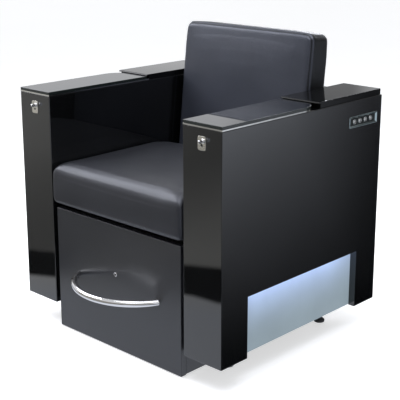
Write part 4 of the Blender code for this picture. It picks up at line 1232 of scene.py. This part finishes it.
def camera():
    data = bpy.data.cameras.new("camera")
    data.lens = 89.19
    data.sensor_width = 36.0
    data.shift_x = -0.0022
    data.shift_y = -0.1
    eye = bpy.data.objects.new("camera", data)
    columns = (CAMERA_RIGHT, CAMERA_UP, CAMERA_BACK, CAMERA_AT)
    eye.matrix_world = Matrix([[column[row] for column in columns] for row in range(3)] + [[0, 0, 0, 1]])
    bpy.context.scene.collection.objects.link(eye)
    bpy.context.scene.camera = eye
    return eye


def lamp(name, place, target, size, power):
    data = bpy.data.lights.new(name, "AREA")
    data.color = (0.96, 0.98, 1.04)
    data.shape = "RECTANGLE"
    data.size, data.size_y = size
    data.energy = power
    light = bpy.data.objects.new(name, data)
    light.location = place
    light.rotation_euler = (Vector(target) - Vector(place)).to_track_quat("-Z", "Y").to_euler()
    bpy.context.scene.collection.objects.link(light)
    return light


def floor_stage():
    """Pale floor. Polished pieces see a darker pattern of it, as a room's floor gives them."""
    bm = bmesh.new()
    corners = ((-1, -1), (1, -1), (1, 1), (-1, 1))
    bm.faces.new([bm.verts.new((x * FLOOR_REACH, y * FLOOR_REACH, 0.0)) for x, y in corners])
    ground = linked("floor", bm)
    look = Look("floor_pale", FLOOR_COLOUR, 0.6)
    look.mottle(FLOOR_COLOUR, 1.5, 0.02)
    ground.data.materials.append(look.material)
    pale = look.shader.outputs[0]
    path = look.node("LightPath").outputs
    white = look.out("AddShader", (pale, look.out("Emission", ((1.0, 1.0, 1.0, 1.0), 0.60))))
    to_camera = look.out("MixShader", (path["Is Camera Ray"], pale, white))
    surface = look.out("MixShader", (path["Is Glossy Ray"], to_camera, mirrored_floor(look)))
    look.fill(look.tree.nodes["Material Output"].inputs["Surface"], surface)
    return ground


def mirrored_floor(look):
    """What the lacquer sees of the floor: strips in front of the chair, a falloff at its right side.

    Ahead runs the way the arms' fronts mirror the floor to the photograph's camera, and across
    runs square to it.
    """
    x, y, z = look.node("SeparateXYZ", (look.node("NewGeometry").outputs["Position"],)).outputs
    ahead = look.maths("ADD", look.maths("MULTIPLY", x, 0.47), look.maths("MULTIPLY", y, 0.883))
    across = look.maths("ADD", look.maths("MULTIPLY", x, -0.883), look.maths("MULTIPLY", y, 0.47))
    on_right = look.ramp(x, 0.42, 0.52)
    brightness = look.mix(on_right, front_strips(look, ahead, across), side_falloff(look, x, y))
    cool = look.maths("MAXIMUM", on_right, look.span(ahead, -0.9, -0.6))
    tint = look.blend(cool, (1.0, 1.0, 0.97, 1.0), (0.94, 0.99, 1.10, 1.0))
    return look.out("Emission", (tint, brightness))


def front_strips(look, ahead, across):
    """Bright ground by the chair and grey ground far ahead, with a dark strip between them."""
    slant = look.maths("ADD", look.span(across, -0.4, 0.1, 0.0, 0.055),
                       look.span(across, -0.34, -0.24, -0.03, 0.0))
    near = look.ramp(look.maths("ADD", ahead, slant), -0.75, -0.70, 0.02, 0.82)
    between = look.maths("MULTIPLY", look.ramp(across, -0.16, 0.0, 0.0, 0.40),
                         look.ramp(across, 0.22, 0.30, 1.0, 0.0))
    between = look.maths("MULTIPLY", between, look.ramp(ahead, -1.15, -0.95))
    grey = look.mix(look.span(ahead, -2.6, -1.2, 1.0, 0.0), look.span(across, -0.1, 0.45, 0.49, 0.22),
                    look.span(across, 0.24, 1.5, 0.25, 0.48))
    far = look.maths("MULTIPLY", look.ramp(ahead, -1.06, -0.99, 1.0, 0.0), grey)
    return look.maths("MAXIMUM", look.maths("MAXIMUM", near, between), far)


def side_falloff(look, x, y):
    """Ground beside the chair: dark at the arm's foot, brighter outwards, darker towards the rear."""
    reach = look.maths("ABSOLUTE", x)
    outward = look.maths("MAXIMUM", look.maths("SUBTRACT", reach, 0.45), 0.001)
    rise = look.maths("MULTIPLY", look.maths("POWER", outward, 1.5), 0.30)
    rearward = look.maths("DIVIDE", y, look.maths("MAXIMUM", reach, 0.1))
    fade = look.maths("MULTIPLY", look.span(rearward, 0.5, 1.4, 1.2, 0.25),
                      look.span(rearward, 1.05, 1.4, 1.0, 0.5))
    return look.maths("MINIMUM", look.maths("MULTIPLY", rise, fade), 0.85)


def studio_world():
    """Even light for matt surfaces; white behind the object, and soft grey walls for its reflections."""
    world = bpy.data.worlds.new("studio")
    bpy.context.scene.world = world
    world.use_nodes = True
    world.node_tree.nodes.clear()
    sky = Nodes(world.node_tree)
    x, y, z = sky.node("SeparateXYZ", (sky.node("TexCoord").outputs["Generated"],)).outputs
    to_left = sky.maths("MULTIPLY", x, -1.0)
    rear_walls = sky.maths("ADD", sky.ramp(to_left, 0.54, 0.562, 0.75, 0.36),
                           sky.ramp(to_left, 0.60, 0.665, 0.0, 0.62))
    walls = sky.mix(sky.ramp(y, 0.2, 0.4), 0.85, rear_walls)
    walls = sky.mix(sky.ramp(z, 0.25, 0.7), walls, 0.7)
    dark_corner = sky.maths("MULTIPLY", sky.ramp(x, 0.05, 0.35), sky.ramp(y, -0.1, 0.2))
    walls = sky.mix(dark_corner, walls, 0.12)
    room = sky.maths("MULTIPLY", sky.ramp(y, -0.45, -0.25, 1.0, 0.0), sky.ramp(z, 0.36, 0.46, 1.0, 0.0))
    walls = sky.mix(room, walls, 0.26)
    tint = sky.blend(room, (0.97, 0.98, 1.0, 1.0), (1.0, 0.92, 0.80, 1.0))

    path = sky.node("LightPath").outputs
    fill = sky.out("Background", ((0.93, 0.96, 1.0, 1.0), 0.42))
    white = sky.out("Background", ((1.0, 1.0, 1.0, 1.0), 1.0))
    seen = sky.maths("MAXIMUM", path["Is Camera Ray"], path["Is Transmission Ray"])
    lit = sky.out("MixShader", (path["Is Glossy Ray"], fill, sky.out("Background", (tint, walls))))
    out = sky.node("OutputWorld")
    sky.fill(out.inputs["Surface"], sky.out("MixShader", (seen, lit, white)))


def stage():
    eye = camera()
    ground = floor_stage()
    lamps = [
        lamp("key", (-2.2, -0.9, 2.3), (0.0, -0.1, 0.5), (1.7, 1.7), 60),
        lamp("sky", (0.5, -0.4, 3.0), (0.0, 0.0, 0.4), (2.4, 2.4), 70),
        lamp("rear", (-1.0, 2.4, 1.9), (0.0, 0.1, 0.6), (1.2, 1.0), 24),
    ]
    studio_world()
    bpy.context.scene.view_settings.view_transform = "Standard"


build_arms()
control_panel()
build_drawer()
build_seat_unit()
seat_cushion()
back_cushion()
stage()
